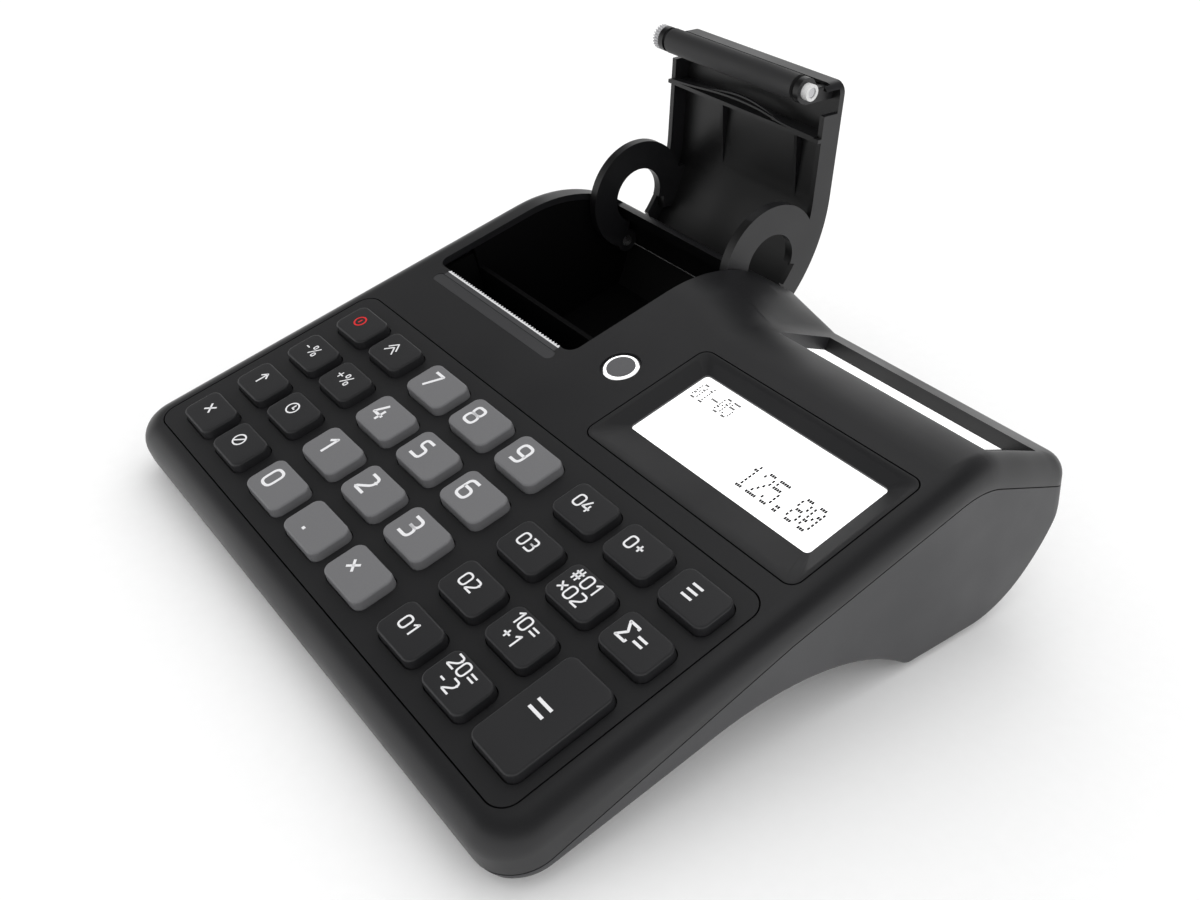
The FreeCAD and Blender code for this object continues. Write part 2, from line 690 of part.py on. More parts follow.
# Screw posts: X, Y and the depth at which the upper and lower post meet
POSTS = (
    ("(bay_left + bay_right) / 2 - post_radius * 3", "(panel_height / 2 + scoop_front) / 2", "seam_side"),
    ("button_x", "(panel_height / 2 + scoop_front) / 2", "seam_side"),
    ("bay_left - bin_wall - post_radius - fit_gap", "hinge_y - post_radius * 4", "seam_side * 2"),
    ("case_width / 2 - wall - post_radius * 2", "crest_start + post_radius", "seam_side * 2"),
)
PLATEN_Y = size("bay_front + cover_gap + platen_setback")
PLATEN_Z = -size("platen_depth")
HINGE_Y = size("hinge_y")
HINGE_Z = -size("hinge_depth")
COVER_LEFT = size("bay_left + cover_gap")
COVER_RIGHT = size("bay_right - cover_gap")


# Keys

def make_key(label, across, up, kind):
    wide, high, corner = TOP_SIZES[kind]
    body = new_body(label, column(across), key_row(up))
    foot_wide = wide + " + 2 * key_flare"
    foot_high = high + " + 2 * key_flare"
    under = "-(wall + fit_gap)"
    block(body, "flange", foot_wide + " + 2 * key_flange", foot_high + " + 2 * key_flange",
          corner, under + " - flange_thick", "flange_thick")
    block(body, "skirt", foot_wide, foot_high, corner, under, "wall + fit_gap")
    foot = rounded_rectangle(new_sketch(body, "foot"), foot_wide, foot_high, corner)
    top = rounded_rectangle(new_sketch(body, "top", height="key_rise"), wide, high, corner)
    cap = body.newObject("PartDesign::AdditiveLoft", label + "_cap")
    cap.Profile = foot
    cap.Sections = [top]
    cap.Ruled = True
    stem_low = under + " - flange_thick - stem_radius"
    disc(body, "stem", "stem_radius", stem_low, "stem_radius")
    round_edges(body, lambda p: abs(p.z - size("key_rise")) < TOUCH, "key_edge")


for label, across, up, kind in KEYS:
    make_key(label, across, up, kind)


# The keypad panel: a plate with a hole for each key, a flange that holds it under the
# shell and a skirt that presses on the switch mat.

def make_panel():
    wide, high = "panel_width", "panel_height"
    body = new_body("keypad_panel")
    block(body, "plate", wide, high, "panel_corner", "-wall", "wall")
    block(body, "rim", wide + " + 2 * frame_flange", high + " + 2 * frame_flange",
          "panel_corner + frame_flange", "-wall - flange_thick", "flange_thick")
    skirt_wide = wide + " + 2 * skirt_side"
    skirt_high = high + " - 2 * skirt_side"
    block(body, "skirt", skirt_wide, skirt_high, "panel_corner", "-mat_depth",
          "mat_depth - wall - flange_thick")
    hollow(body, "room", skirt_wide + " - 2 * skirt_wall", skirt_high + " - 2 * skirt_wall",
           "panel_corner - skirt_wall", "-wall", "mat_depth")
    for number, (across, up, columns, rows, kind) in enumerate(GROUPS):
        top_wide, top_high, corner = TOP_SIZES[kind]
        hole = "%s + 2 * key_flare + 2 * fit_gap"
        cut = hollow(body, "hole_%d" % number, hole % top_wide, hole % top_high, corner + " + fit_gap",
                     "overrun", "overrun + wall", x=column(across), y=key_row(up))
        if columns * rows > 1:
            repeat(body, cut, group_steps(across, columns, rows))


make_panel()


def make_mat():
    """Silicone switch mat with a well under each plunger."""
    body = new_body("key_mat")
    block(body, "sheet", "panel_width + 2 * skirt_side", "panel_height - 2 * skirt_side",
          "panel_corner", "-mat_depth - mat_thick", "mat_thick")
    for number, (across, up, columns, rows, kind) in enumerate(GROUPS):
        cut = bore(body, "well_%d" % number, "stem_radius + 2 * fit_gap", "-mat_depth", "mat_thick + fit_gap",
                   x=column(across), y=key_row(up))
        if columns * rows > 1:
            repeat(body, cut, group_steps(across, columns, rows))


make_mat()

key_board = new_body("key_board")
block(key_board, "sheet", "panel_width + 2 * skirt_side", "panel_height - 2 * skirt_side",
      "panel_corner", "-mat_depth - mat_thick - board_thick", "board_thick")


# Main display: a frame with a bevelled opening, and the display module behind it

def make_frame():
    body = new_body("display_bezel", "frame_x", "frame_y")
    block(body, "plate", "frame_width", "frame_height", "frame_corner", "-wall", "wall")
    block(body, "rim", "frame_width + 2 * frame_flange", "frame_height + 2 * frame_flange",
          "frame_corner + frame_flange", "-frame_deep", "frame_deep - wall")
    upper = new_sketch(body, "mouth")
    rounded_rectangle(upper, "frame_width - 2 * frame_land", "frame_height - 2 * frame_land",
                      "frame_corner - frame_land")
    lower = new_sketch(body, "window", height="-window_depth", x="window_shift_x", y="window_shift_y")
    rounded_rectangle(lower, "window_width", "window_height", "window_corner")
    bevel = body.newObject("PartDesign::SubtractiveLoft", "display_bezel_bevel")
    bevel.Profile = upper
    bevel.Sections = [lower]
    bevel.Ruled = True
    hollow(body, "sight", "window_width", "window_height", "window_corner", "-window_depth",
           "frame_deep", x="window_shift_x", y="window_shift_y")
    hollow(body, "glass_seat", "window_width + 2 * glass_border + 2 * seat_gap",
           "window_height + 2 * glass_border + 2 * seat_gap", "window_corner",
           "-glass_depth", "frame_deep", x="window_shift_x", y="window_shift_y")


make_frame()

display = new_body("display_module", "frame_x + window_shift_x", "frame_y + window_shift_y")
block(display, "glass", "window_width + 2 * glass_border", "window_height + 2 * glass_border",
      "window_corner", "-frame_deep", "frame_deep - glass_depth")
block(display, "board", "window_width + 2 * glass_border + 2 * module_border",
      "window_height + 2 * glass_border + 2 * module_border", "window_corner",
      "-frame_deep - board_thick", "board_thick")

main_board = new_body("main_board", "main_x", "main_y")
block(main_board, "sheet", "main_wide", "main_high", "window_corner", "-main_depth - board_thick",
      "board_thick")
block(main_board, "header", "header_wide", "header_high", "board_thick / 2", "-main_depth",
      "main_depth - frame_deep - board_thick")
block(main_board, "processor", "header_high * 3", "header_high * 3", "board_thick / 2",
      "-main_depth", "board_thick", x="-header_wide / 2", y="-header_high * 2.5")


# Release button and its light ring

button = new_body("release_button", "button_x", "button_y")
disc(button, "cap", "button_radius", "-wall", "wall")
disc(button, "stem", "button_stem", "-button_deep", "button_deep - wall")
disc(button, "collar", "button_radius + fit_gap", "-wall - button_travel - flange_thick", "flange_thick")
round_edges(button, lambda p: p.z > -TOUCH, "fit_gap")

ring = new_body("button_ring", "button_x", "button_y")
disc(ring, "collar", "ring_radius", "-wall", "wall - dish_deep / 2")
disc(ring, "rim", "ring_flange", "-wall - flange_thick", "flange_thick")
bore(ring, "bore", "button_radius + seat_gap * 2", "overrun", "overrun + wall + flange_thick")


# Tear blade: its teeth are a saw line made by a loop

def make_cutter():
    left = size("cutter_left")
    right = left + size("cutter_width")
    tips = size("bay_front + cutter_reach")
    roots = tips - size("cutter_tooth")
    front = tips - size("cutter_deep")
    count = int(size("cutter_width") / size("cutter_pitch"))
    step = size("cutter_width") / count
    points = [(left, front), (right, front), (right, roots)]
    for k in range(count, 0, -1):
        points.append((left + (k - 0.5) * step, tips))
        points.append((left + (k - 1) * step, roots))
    outline = [Vector(x, y, -size("cutter_thick")) for x, y in points]
    wire = Part.makePolygon(outline + [outline[0]])
    return Part.Face(wire).extrude(Vector(0, 0, size("cutter_thick")))


feature("cutter_blade", make_cutter())


# Rear window: a flared opening along the rear slope. Its own frame lies on the slope with
# the origin where the crest runs out, Y down the slope and Z out of it.

def on_slope(shape):
    ty, tz = slope_tangent(0)
    shape.rotate(Vector(0, 0, 0), Vector(1, 0, 0), -size("rear_slope"))
    shape.translate(Vector(0, ty, tz))
    return shape


def flared_block(border, top, bottom):
    """The rear window's opening between two heights over the slope, grown by a border."""
    deep = size("rear_window_deep")
    near = size("rear_window_start") - border
    far = near + size("rear_window_long") + 2 * border
    left = size("rear_window_left") - border
    wires = []
    for z in (top, bottom):
        share = (z + deep) / deep
        flare = size("rear_window_flare") - size("rear_window_right")
        right = size("rear_window_right") + share * flare + border
        corners = [Vector(left, near, z), Vector(right, near, z), Vector(right, far, z), Vector(left, far, z)]
        wires.append(Part.makePolygon(corners + [corners[0]]))
    return on_slope(Part.makeLoft(wires, True, True))


def straight_block(border, top, bottom):
    near = size("rear_window_start") - border
    far = near + size("rear_window_long") + 2 * border
    shape = box(size("rear_window_left") - border, size("rear_window_right") + border, near, far, bottom, top)
    return on_slope(shape)


# Top shell

def bar_block():
    """The bar across the back of the bay, which the cover's arms reach over."""
    left = size("bay_left - wall")
    right = size("bay_right + wall")
    shape = box(left, right, size("bar_front"), size("rear_reach"), -size("bar_deep"), 0)
    return shape.common(OUTER)


def bay_cut():
    """The bay's opening, and the room over the bar that the cover sweeps."""
    left, right = size("bay_left"), size("bay_right")
    up = size("overrun")
    front = size("bay_front")
    low = -size("bar_deep")
    opening = box(left, right, front, size("bar_front"), low, up)
    corner = [e for e in opening.Edges if e.BoundBox.ZLength > up and e.CenterOfMass.y < front + up]
    opening = opening.makeFillet(size("bay_corner"), corner)
    sweep = box(left, right, size("bar_front"), size("rear_reach") + up, low, up)
    sweep = sweep.cut(rod(size("bar_radius"), left, right, HINGE_Y, HINGE_Z))
    return [opening, sweep]


def scoop():
    """Shallow finger groove before the tear blade, with round ends."""
    left = size("cutter_left")
    right = left + size("cutter_width")
    front = size("scoop_front")
    rear = size("bay_front + cutter_reach - cutter_deep")
    radius = (rear - front) / 2
    low = -size("scoop_deep")
    groove = box(left, right, front, rear, low, size("overrun"))
    ends = [post(radius, x, front + radius, low, size("overrun")) for x in (left, right)]
    return groove.multiFuse(ends)


def blade_seat():
    gap = size("seat_gap")
    left = size("cutter_left") - gap
    right = left + size("cutter_width") + 2 * gap
    front = size("bay_front + cutter_reach - cutter_deep") - gap
    return box(left, right, front, size("bay_front + overrun"), -size("cutter_thick"), size("overrun"))


def pad_shape(wide, high, radius, x, y, low, top):
    """An upright block with round corners, as a plain solid."""
    shape = box(x - wide / 2, x + wide / 2, y - high / 2, y + high / 2, low, top)
    corners = [e for e in shape.Edges if e.BoundBox.ZLength > (top - low) / 2]
    return shape.makeFillet(radius, corners)


def make_top_shell():
    gap = size("groove")
    up = size("overrun")
    shell = OUTER.cut(INNER).common(ABOVE)
    collar = flared_block(size("collar_wall"), 0, -size("rear_window_deep")).common(OUTER)
    deep_collar = straight_block(size("collar_wall"), -size("rear_window_deep"),
                                 -size("rear_window_deep + glass_depth"))
    posts = [post(size("post_radius"), size(x), size(y), -size(deep), 0) for x, y, deep in POSTS]
    posts = [p.common(OUTER) for p in posts]
    shell = shell.multiFuse([bar_block(), collar, deep_collar] + posts)
    cuts = bay_cut() + [scoop(), blade_seat()]
    cuts.append(pad_shape(size("panel_width") + 2 * gap, size("panel_height") + 2 * gap,
                          size("panel_corner") + gap, 0, 0, -WALL - up, up))
    cuts.append(pad_shape(size("frame_width") + 2 * gap, size("frame_height") + 2 * gap,
                          size("frame_corner") + gap, size("frame_x"), size("frame_y"), -WALL - up, up))
    cuts.append(post(size("ring_radius + fit_gap"), size("button_x"), size("button_y"), -WALL - up, up))
    cuts.append(post(size("dish_radius"), size("button_x"), size("button_y"), -size("dish_deep"), up))
    cuts.append(flared_block(0, up, -size("rear_window_deep")))
    cuts.append(straight_block(size("seat_gap"), -size("rear_window_deep"), -size("bar_deep")))
    for x, y, deep in POSTS:
        cuts.append(post(size("screw_radius"), size(x), size(y), -size(deep + " + overrun"),
                         -size(deep + " - screw_head_thick - fit_gap")))
    return shell.cut(Part.makeCompound(cuts)).removeSplitter()


TOP_SHELL = make_top_shell()
feature("top_shell", TOP_SHELL)


# Customer display behind the rear window

def make_customer_display():
    deep = size("rear_window_deep")
    thick = size("glass_depth")
    glass = straight_block(0, -deep, -deep - thick)
    board = straight_block(size("collar_wall"), -deep - thick, -deep - thick - size("board_thick"))
    return glass.fuse(board).removeSplitter()


feature("customer_display", make_customer_display())


# Bottom shell

def battery_box(border, low, top):
    """A level block over the battery's outline, between two heights above the desk."""
    half = size("battery_wide") / 2 - border
    tilt = math.radians(TILT)
    middle = size("battery_y")
    y = middle * math.cos(tilt) - base_height(middle, 0) * math.sin(tilt)
    reach = size("battery_deep") / 2 - border
    return level(box(size("battery_x") - half, size("battery_x") + half, y - reach, y + reach, low, top))


def socket_nose(radius, deep):
    x = -HALF
    return rod(radius, x, x + deep, size("socket_y"), -size("socket_depth"))


def make_bottom_shell():
    gap = size("seam_gap")
    up = size("overrun")
    shell = ROUND_UNDER.cut(INNER).cut(above_seam(-gap))
    lip_core = case_solid(WALL + size("lip_wall"), size("inner_shoulder - lip_wall"))
    lip = INNER.cut(lip_core).cut(above_seam(size("lip_height"))).common(above_seam(-gap - WALL))
    keep_out = box(size("bay_left - bin_wall"), size("bay_right + bin_wall"), size("bin_front - bin_wall"),
                   size("rear_reach"), -size("bin_floor + bin_wall"), up)
    lip = lip.cut(Part.makeCompound([TOP_SHELL, keep_out]))
    shell = shell.fuse(lip)
    board_low = -size("mat_depth + mat_thick + board_thick")
    reach_x = size("panel_width") / 2 - size("panel_corner")
    reach_y = size("panel_height") / 2 - size("panel_corner")
    stands = [post(size("post_radius"), sx * reach_x, sy * reach_y, -size("arch_rise"), board_low)
              for sx in (-1, 1) for sy in (-1, 1)]
    deepest = -size("stern_depth + overrun")
    stands += [post(size("post_radius"), size(x), size(y), deepest, -size(deep)) for x, y, deep in POSTS]
    stands = [s.common(ROUND_UNDER) for s in stands]
    shell = shell.multiFuse(stands)
    cuts = [battery_box(size("door_border"), 0, size("base_lift") + WALL)]
    cuts.append(socket_nose(size("socket_nose + fit_gap"), WALL * 2))
    for x, y, deep in POSTS:
        px, py = size(x), size(y)
        seat = size("screw_head_thick") - size(deep) - size("screw_length")
        cuts.append(post(size("screw_radius + seat_gap"), px, py, seat - up, 0))
        cuts.append(post(size("screw_head + fit_gap"), px, py, -size("rear_reach"), seat))
    return shell.cut(Part.makeCompound(cuts)).removeSplitter()


feature("bottom_shell", make_bottom_shell())


def make_screws():
    """Four screws up through the bottom posts into the top ones."""
    solids = []
    for x, y, deep in POSTS:
        seat = size("screw_head_thick") - size(deep) - size("screw_length")
        px, py = size(x), size(y)
        shank = post(size("screw_radius - seat_gap"), px, py, seat, seat + size("screw_length"))
        head = post(size("screw_head"), px, py, seat - size("screw_head_thick"), seat)
        solids.append(shank.fuse(head).removeSplitter())
    return Part.makeCompound(solids)


feature("case_screws", make_screws())


def make_feet():
    """Rubber feet, upright from the desk to wherever they meet the case."""
    solids = []
    tilt = math.radians(TILT)
    for x, y in (("foot_front_x", "foot_front"), ("foot_rear_x", "foot_rear")):
        along = size(y) * math.cos(tilt)
        if y == "foot_rear":
            along -= base_height(size(y), 0) * math.sin(tilt)
        else:
            along += size("belly_depth") * math.sin(tilt)
        for side in (-1, 1):
            stem = Part.makeCylinder(size("foot_radius"), size("foot_tall"), Vector(side * size(x), along, 0))
            solids.append(level(stem).cut(OUTER))
    return Part.makeCompound(solids)


feature("rubber_feet", make_feet())
lift = size("base_lift") + WALL
feature("battery_pack", battery_box(0, lift, lift + size("battery_tall")))
feature("battery_door", battery_box(size("door_border + fit_gap"), size("base_lift"), lift))


def make_socket():
    """Round power inlet through the left wall, with its body behind the wall and an open bore."""
    nose = socket_nose(size("socket_nose"), WALL)
    y, z = size("socket_y"), -size("socket_depth")
    half = size("socket_side") / 2
    inner = -HALF + WALL
    body = box(inner, inner + size("socket_long"), y - half, y + half, z - half, z + half)
    hole = socket_nose(size("socket_bore"), size("socket_bore_deep"))
    return body.fuse(nose).cut(hole).removeSplitter()


feature("power_socket", make_socket())


# Paper bin: an open box under the bay whose side walls carry the hinge pins

def make_bin():
    wall = size("bin_wall")
    left, right = size("bay_left"), size("bay_right")
    front, rear = size("bin_front"), size("rear_reach")
    floor = -size("bin_floor")
    shape = box(left - wall, right + wall, front - wall, rear, floor - wall, 0).common(INNER)
    over_front = box(left, right, front - wall, rear, -size("bin_lip"), size("overrun"))
    shape = shape.cut(over_front.fuse(box(left, right, front, rear, floor, size("overrun"))))
    pin = rod(size("pin_radius + seat_gap"), left - wall, right + wall, HINGE_Y, HINGE_Z)
    return shape.cut(Part.makeCompound([pin, TOP_SHELL])).removeSplitter()


feature("paper_bin", make_bin())


def make_pins():
    left = size("bay_left - bin_wall")
    right = size("bay_right + bin_wall")
    radius, length = size("pin_radius"), size("pin_length")
    ends = ((left, left + length), (right - length, right))
    return Part.makeCompound([rod(radius, a, b, HINGE_Y, HINGE_Z) for a, b in ends])


feature("cover_pins", make_pins())


# Paper cover, drawn shut over the bay, then moved so that its origin is on the hinge and
# swung back to the stop

def from_hinge(shape):
    moved = shape.copy()
    moved.translate(Vector(0, -HINGE_Y, -HINGE_Z))
    moved.rotate(Vector(0, 0, 0), Vector(1, 0, 0), -size("open_angle"))
    return moved


def cover_profile(x, deep):
    """A strip under the case's own top line, as deep as asked."""
    front = size("bay_front + cover_gap")
    start = size("hump_start")
    rear = size("cover_rear")
    reach = rear - start
    outer_r = size("hump_radius")
    inner_r = outer_r - deep
    end = math.atan2(reach, math.sqrt(outer_r ** 2 - reach ** 2))

    def at(radius, angle):
        return (start + radius * math.sin(angle), radius * math.cos(angle) - outer_r)

    return [line(x, (front, 0), (start, 0)), arc(x, (start, 0), at(outer_r, end / 2), at(outer_r, end)),
            line(x, at(outer_r, end), at(inner_r, end)),
            arc(x, at(inner_r, end), at(inner_r, end / 2), (start, -deep)),
            line(x, (start, -deep), (front, -deep)), line(x, (front, -deep), (front, 0))]


def hinge_arm(x):
    """A hook round the rear bar: a ring with a mouth, and a round end at the pin."""
    thick = size("arm_thick")
    y, z = size("arm_centre_y"), -size("arm_centre_depth")
    reach = 2 * size("arm_outer")
    tail, mouth = math.radians(size("arm_tail")), math.radians(size("arm_mouth"))
    ring_shape = rod(size("arm_outer"), x, x + thick, y, z).cut(rod(size("arm_inner"), x, x + thick, y, z))
    ways = [tail + (mouth - tail) * k / 2 for k in range(3)]
    gap_points = [Vector(x, y, z)]
    gap_points += [Vector(x, y + reach * math.cos(w), z + reach * math.sin(w)) for w in ways]
    gap = Part.Face(Part.makePolygon(gap_points + [gap_points[0]])).extrude(Vector(thick, 0, 0))
    boss = rod(size("arm_boss"), x, x + thick, HINGE_Y, HINGE_Z)
    web = box(x, x + thick, size("gusset_front"), size("gusset_rear"), -size("gusset_deep"), 0)
    web = web.cut(rod(size("arm_inner"), x, x + thick, y, z))
    web = web.common(extrude(cover_profile(x, size("gusset_deep")), thick))
    return ring_shape.cut(gap).multiFuse([boss, web])


def make_cover():
    side = size("cover_side_wall")
    wide = COVER_RIGHT - COVER_LEFT
    front = size("bay_front + cover_gap")
    thick = size("cover_thick")
    panel = extrude(cover_profile(COVER_LEFT, thick), wide)
    walls = [extrude(cover_profile(x, size("cover_side")), side) for x in (COVER_LEFT, COVER_RIGHT - side)]
    lip = box(COVER_LEFT, COVER_RIGHT, front, front + side, -size("cover_lip"), 0)
    rib = size("rib_thick")
    near, far = size("rib_place"), size("rib_rear")
    ribs = [box(COVER_LEFT, COVER_RIGHT, near, near + rib, -size("rib_deep"), -thick / 2)]
    for name in ("rib_left", "rib_right"):
        x = COVER_LEFT + size(name)
        corners = ((near, -thick / 2), (near, -size("rib_low")), (far, -thick), (far, -thick / 2))
        ribs.append(extrude([line(x, corners[k - 1], corners[k]) for k in range(4)], rib))
    shape = panel.multiFuse(walls + [lip] + ribs)
    notch = rod(size("sweep_radius"), COVER_LEFT, COVER_RIGHT, HINGE_Y, HINGE_Z)
    gear_room = size("ear_inset")
    gear_rear = PLATEN_Y + size("roller_radius") * 2
    sides = ((COVER_LEFT, COVER_LEFT + gear_room), (COVER_RIGHT - gear_room, COVER_RIGHT))
    notches = [box(a, b, front + side, gear_rear, -size("cover_side"), -thick) for a, b in sides]
    shape = shape.cut(Part.makeCompound([notch] + notches))
    plan = box(COVER_LEFT, COVER_RIGHT, front, size("rear_reach"), -size("rear_reach"), size("overrun"))
    uprights = [e for e in plan.Edges if e.BoundBox.XLength < TOUCH]
    corners = [e for e in uprights if abs(e.CenterOfMass.y - front) < TOUCH]
    shape = shape.common(plan.makeFillet(size("cover_corner"), corners))
    ears = []
    for x in (COVER_LEFT + gear_room, COVER_RIGHT - gear_room - size("ear_thick")):
        plate = box(x, x + size("ear_thick"), front + side / 2, PLATEN_Y + size("ear_radius"),
                    PLATEN_Z, -thick / 2)
        tip = rod(size("ear_radius - fit_gap"), x, x + size("ear_thick"), PLATEN_Y, PLATEN_Z)
        ears.append(plate.fuse(tip))
    arms = [hinge_arm(COVER_LEFT + side), hinge_arm(COVER_RIGHT - size("arm_thick"))]
    shape = shape.multiFuse(ears + arms)
    shape = shape.cut(Part.makeCompound([
        rod(size("bush_neck + seat_gap"), COVER_LEFT, COVER_RIGHT, PLATEN_Y, PLATEN_Z),
        rod(size("pin_radius + seat_gap"), COVER_LEFT, COVER_RIGHT, HINGE_Y, HINGE_Z)]))
    return shape.removeSplitter()


COVER = make_cover()
feature("paper_cover", from_hinge(COVER), HINGE)


# Platen: roller, shaft, bushes and gear, on the cover

# Where a tooth's corners lie round the gear, as shares of the tooth spacing
ROOT_SHARE = 0.34
TIP_SHARE = 0.12
# How much deeper a root is than the module
ROOT_FACTOR = 1.2


def gear_solid(teeth, x, y, z, phase, hole):
    """A spur gear along X with straight-flanked teeth, made by a loop."""
    module = size("gear_module")
    pitch_r = module * teeth / 2
    tip_r, root_r = pitch_r + module, pitch_r - module * ROOT_FACTOR
    step = 2 * math.pi / teeth
    points = []
    for k in range(teeth):
        middle = phase + k * step
        corners = ((root_r, -ROOT_SHARE), (tip_r, -TIP_SHARE), (tip_r, TIP_SHARE), (root_r, ROOT_SHARE))
        for radius, share in corners:
            angle = middle + share * step
            points.append(Vector(x, y + radius * math.cos(angle), z + radius * math.sin(angle)))
    blank = Part.Face(Part.makePolygon(points + [points[0]])).extrude(Vector(size("gear_width"), 0, 0))
    return blank.cut(rod(hole, x, x + size("gear_width"), y, z))


PLATEN_TEETH, DRIVE_TEETH, PINION_TEETH = 24, 36, 12
EAR_LEFT = COVER_LEFT + size("ear_inset")
EAR_RIGHT = COVER_RIGHT - size("ear_inset")
GEAR_X = EAR_LEFT - size("fit_gap") - size("gear_width")
BUSH_END = EAR_RIGHT + size("bush_collar")


def make_roller():
    gap = size("fit_gap") + size("flange_thick")
    left = EAR_LEFT + size("ear_thick") + gap
    right = EAR_RIGHT - size("ear_thick") - gap
    tube = rod(size("roller_radius"), left, right, PLATEN_Y, PLATEN_Z)
    return tube.cut(rod(size("shaft_radius"), left, right, PLATEN_Y, PLATEN_Z))


def make_bushes():
    """A flanged bush in each ear; the right one's collar stands outside it."""
    neck = size("bush_neck")
    hole = size("shaft_radius + seat_gap")
    thick = size("ear_thick")
    flange = size("flange_thick")
    inside = EAR_LEFT + thick
    left = rod(neck, EAR_LEFT, inside + flange, PLATEN_Y, PLATEN_Z)
    left = left.fuse(rod(size("bush_radius"), inside, inside + flange, PLATEN_Y, PLATEN_Z))
    right = rod(neck, EAR_RIGHT - thick, EAR_RIGHT, PLATEN_Y, PLATEN_Z)
    right = right.fuse(rod(size("bush_radius"), EAR_RIGHT, BUSH_END, PLATEN_Y, PLATEN_Z))
    bores = rod(hole, COVER_LEFT, COVER_RIGHT, PLATEN_Y, PLATEN_Z)
    return Part.makeCompound([left.cut(bores).removeSplitter(), right.cut(bores).removeSplitter()])


feature("platen_shaft", from_hinge(rod(size("shaft_radius"), GEAR_X, BUSH_END - size("fit_gap"),
                                       PLATEN_Y, PLATEN_Z)), HINGE)
feature("platen_roller", from_hinge(make_roller()), HINGE)
feature("platen_bushes", from_hinge(make_bushes()), HINGE)
feature("platen_gear", from_hinge(gear_solid(PLATEN_TEETH, GEAR_X, PLATEN_Y, PLATEN_Z, 0,
                                             size("shaft_radius"))), HINGE)


# Printer: frame, print head, motor and the two gears that turn the platen

TIP_SUM = size("gear_module") * (PLATEN_TEETH + DRIVE_TEETH + 4) / 2
DRIVE_Y = PLATEN_Y
DRIVE_Z = PLATEN_Z - TIP_SUM - size("gear_gap")
WAY = math.radians(size("motor_bearing"))
MESH = size("gear_module") * (DRIVE_TEETH + PINION_TEETH) / 2 + size("seat_gap")
MOTOR_Y = DRIVE_Y + MESH * math.cos(WAY)
MOTOR_Z = DRIVE_Z + MESH * math.sin(WAY)
AXLE = size("motor_shaft")


def make_mech_frame():
    """Two side plates and a cross plate, with a stub axle for the drive gear."""
    wall = size("mech_wall")
    left = size("bay_left - bin_wall")
    right = size("bay_right + bin_wall")
    front, rear = size("mech_front"), size("mech_rear")
    top, floor = -size("mech_top"), -size("mech_floor")
    plates = [box(left, left + wall, front, rear, floor, top),
              box(right - wall, right, front, rear, floor, top),
              box(left, right, front, front + wall, floor, top)]
    mount_x = GEAR_X + size("gear_width") + size("fit_gap")
    mount = box(mount_x, mount_x + wall, front, DRIVE_Y + size("roller_radius"), floor, -size("head_floor"))
    axle = rod(AXLE, left, mount_x, DRIVE_Y, DRIVE_Z)
    frame = plates[0].multiFuse(plates[1:] + [mount, axle])
    clear = rod(AXLE + size("fit_gap"), mount_x, mount_x + wall, MOTOR_Y, MOTOR_Z)
    return frame.common(INNER).cut(clear).removeSplitter()


def make_head():
    """A bar that faces the roller, with two spring lugs towards the cross plate."""
    face = PLATEN_Y - size("roller_radius + head_gap")
    back = face - size("head_thick")
    left = EAR_LEFT + size("ear_thick + fit_gap")
    right = EAR_RIGHT - size("ear_thick + fit_gap")
    top, floor = -size("head_top"), -size("head_floor")
    bar = box(left, right, back, face, floor, top)
    lug_back = size("mech_front + mech_wall + head_travel + fit_gap / 2")
    lug = size("head_thick")
    places = (left + 2 * lug, right - 3 * lug)
    lugs = [box(x, x + lug, lug_back, back, floor + lug, top - lug) for x in places]
    return bar.multiFuse(lugs).removeSplitter()


def make_motor():
    front_x = GEAR_X + size("gear_width + fit_gap + mech_wall")
    body = rod(size("motor_radius"), front_x, front_x + size("motor_length"), MOTOR_Y, MOTOR_Z)
    return body


feature("mechanism_frame", make_mech_frame())
feature("print_head", make_head())
feature("feed_motor", make_motor())
drive_phase = WAY
pinion_phase = WAY + math.pi + math.pi / PINION_TEETH
feature("drive_gear", gear_solid(DRIVE_TEETH, GEAR_X, DRIVE_Y, DRIVE_Z, drive_phase, AXLE + size("seat_gap")))
pinion = gear_solid(PINION_TEETH, GEAR_X, MOTOR_Y, MOTOR_Z, pinion_phase, AXLE)
pinion_axle = rod(AXLE, GEAR_X, GEAR_X + size("gear_width + fit_gap + mech_wall"), MOTOR_Y, MOTOR_Z)
feature("motor_pinion", pinion.fuse(pinion_axle).removeSplitter())


# Set the origin under the middle of the whole part, then check and write every piece

def overall():
    """The bounds of the pieces that set the part's extents."""
    total = FreeCAD.BoundBox()
    for piece in NODES:
        if piece.Label in ("top_shell", "bottom_shell", "paper_cover", "rubber_feet"):
            total.add(piece.Shape.optimalBoundingBox(False))
    return total


def check():
    bad = []
    for item in doc.Objects:
        if "Invalid" in item.State or "Error" in item.State:
            bad.append(item.Label + " " + " ".join(item.State))
    for piece in NODES:
        shape = piece.Shape
        if shape.isNull() or not shape.isValid() or not shape.Solids:
            bad.append(piece.Label + " shape")
    if bad:
        raise RuntimeError("pieces that failed: " + ", ".join(bad))


doc.recompute()
check()
reach = overall()
home.set("B1", str(-(reach.YMin + reach.YMax) / 2))
doc.recompute()
check()

os.makedirs("parts", exist_ok=True)
for piece in NODES:
    piece.Shape.exportStep(os.path.join("parts", piece.Label + ".step"))
reach = overall()
print("nodes", len(NODES))
print("size", round(reach.XLength, 2), round(reach.YLength, 2), round(reach.ZLength, 2))
print("low corner", round(reach.XMin, 2), round(reach.YMin, 2), round(reach.ZMin, 2))
print("keypad middle at Y", round(home.home_y, 3))
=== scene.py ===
import json
import math

import bmesh
import bpy
from mathutils import Matrix, Vector


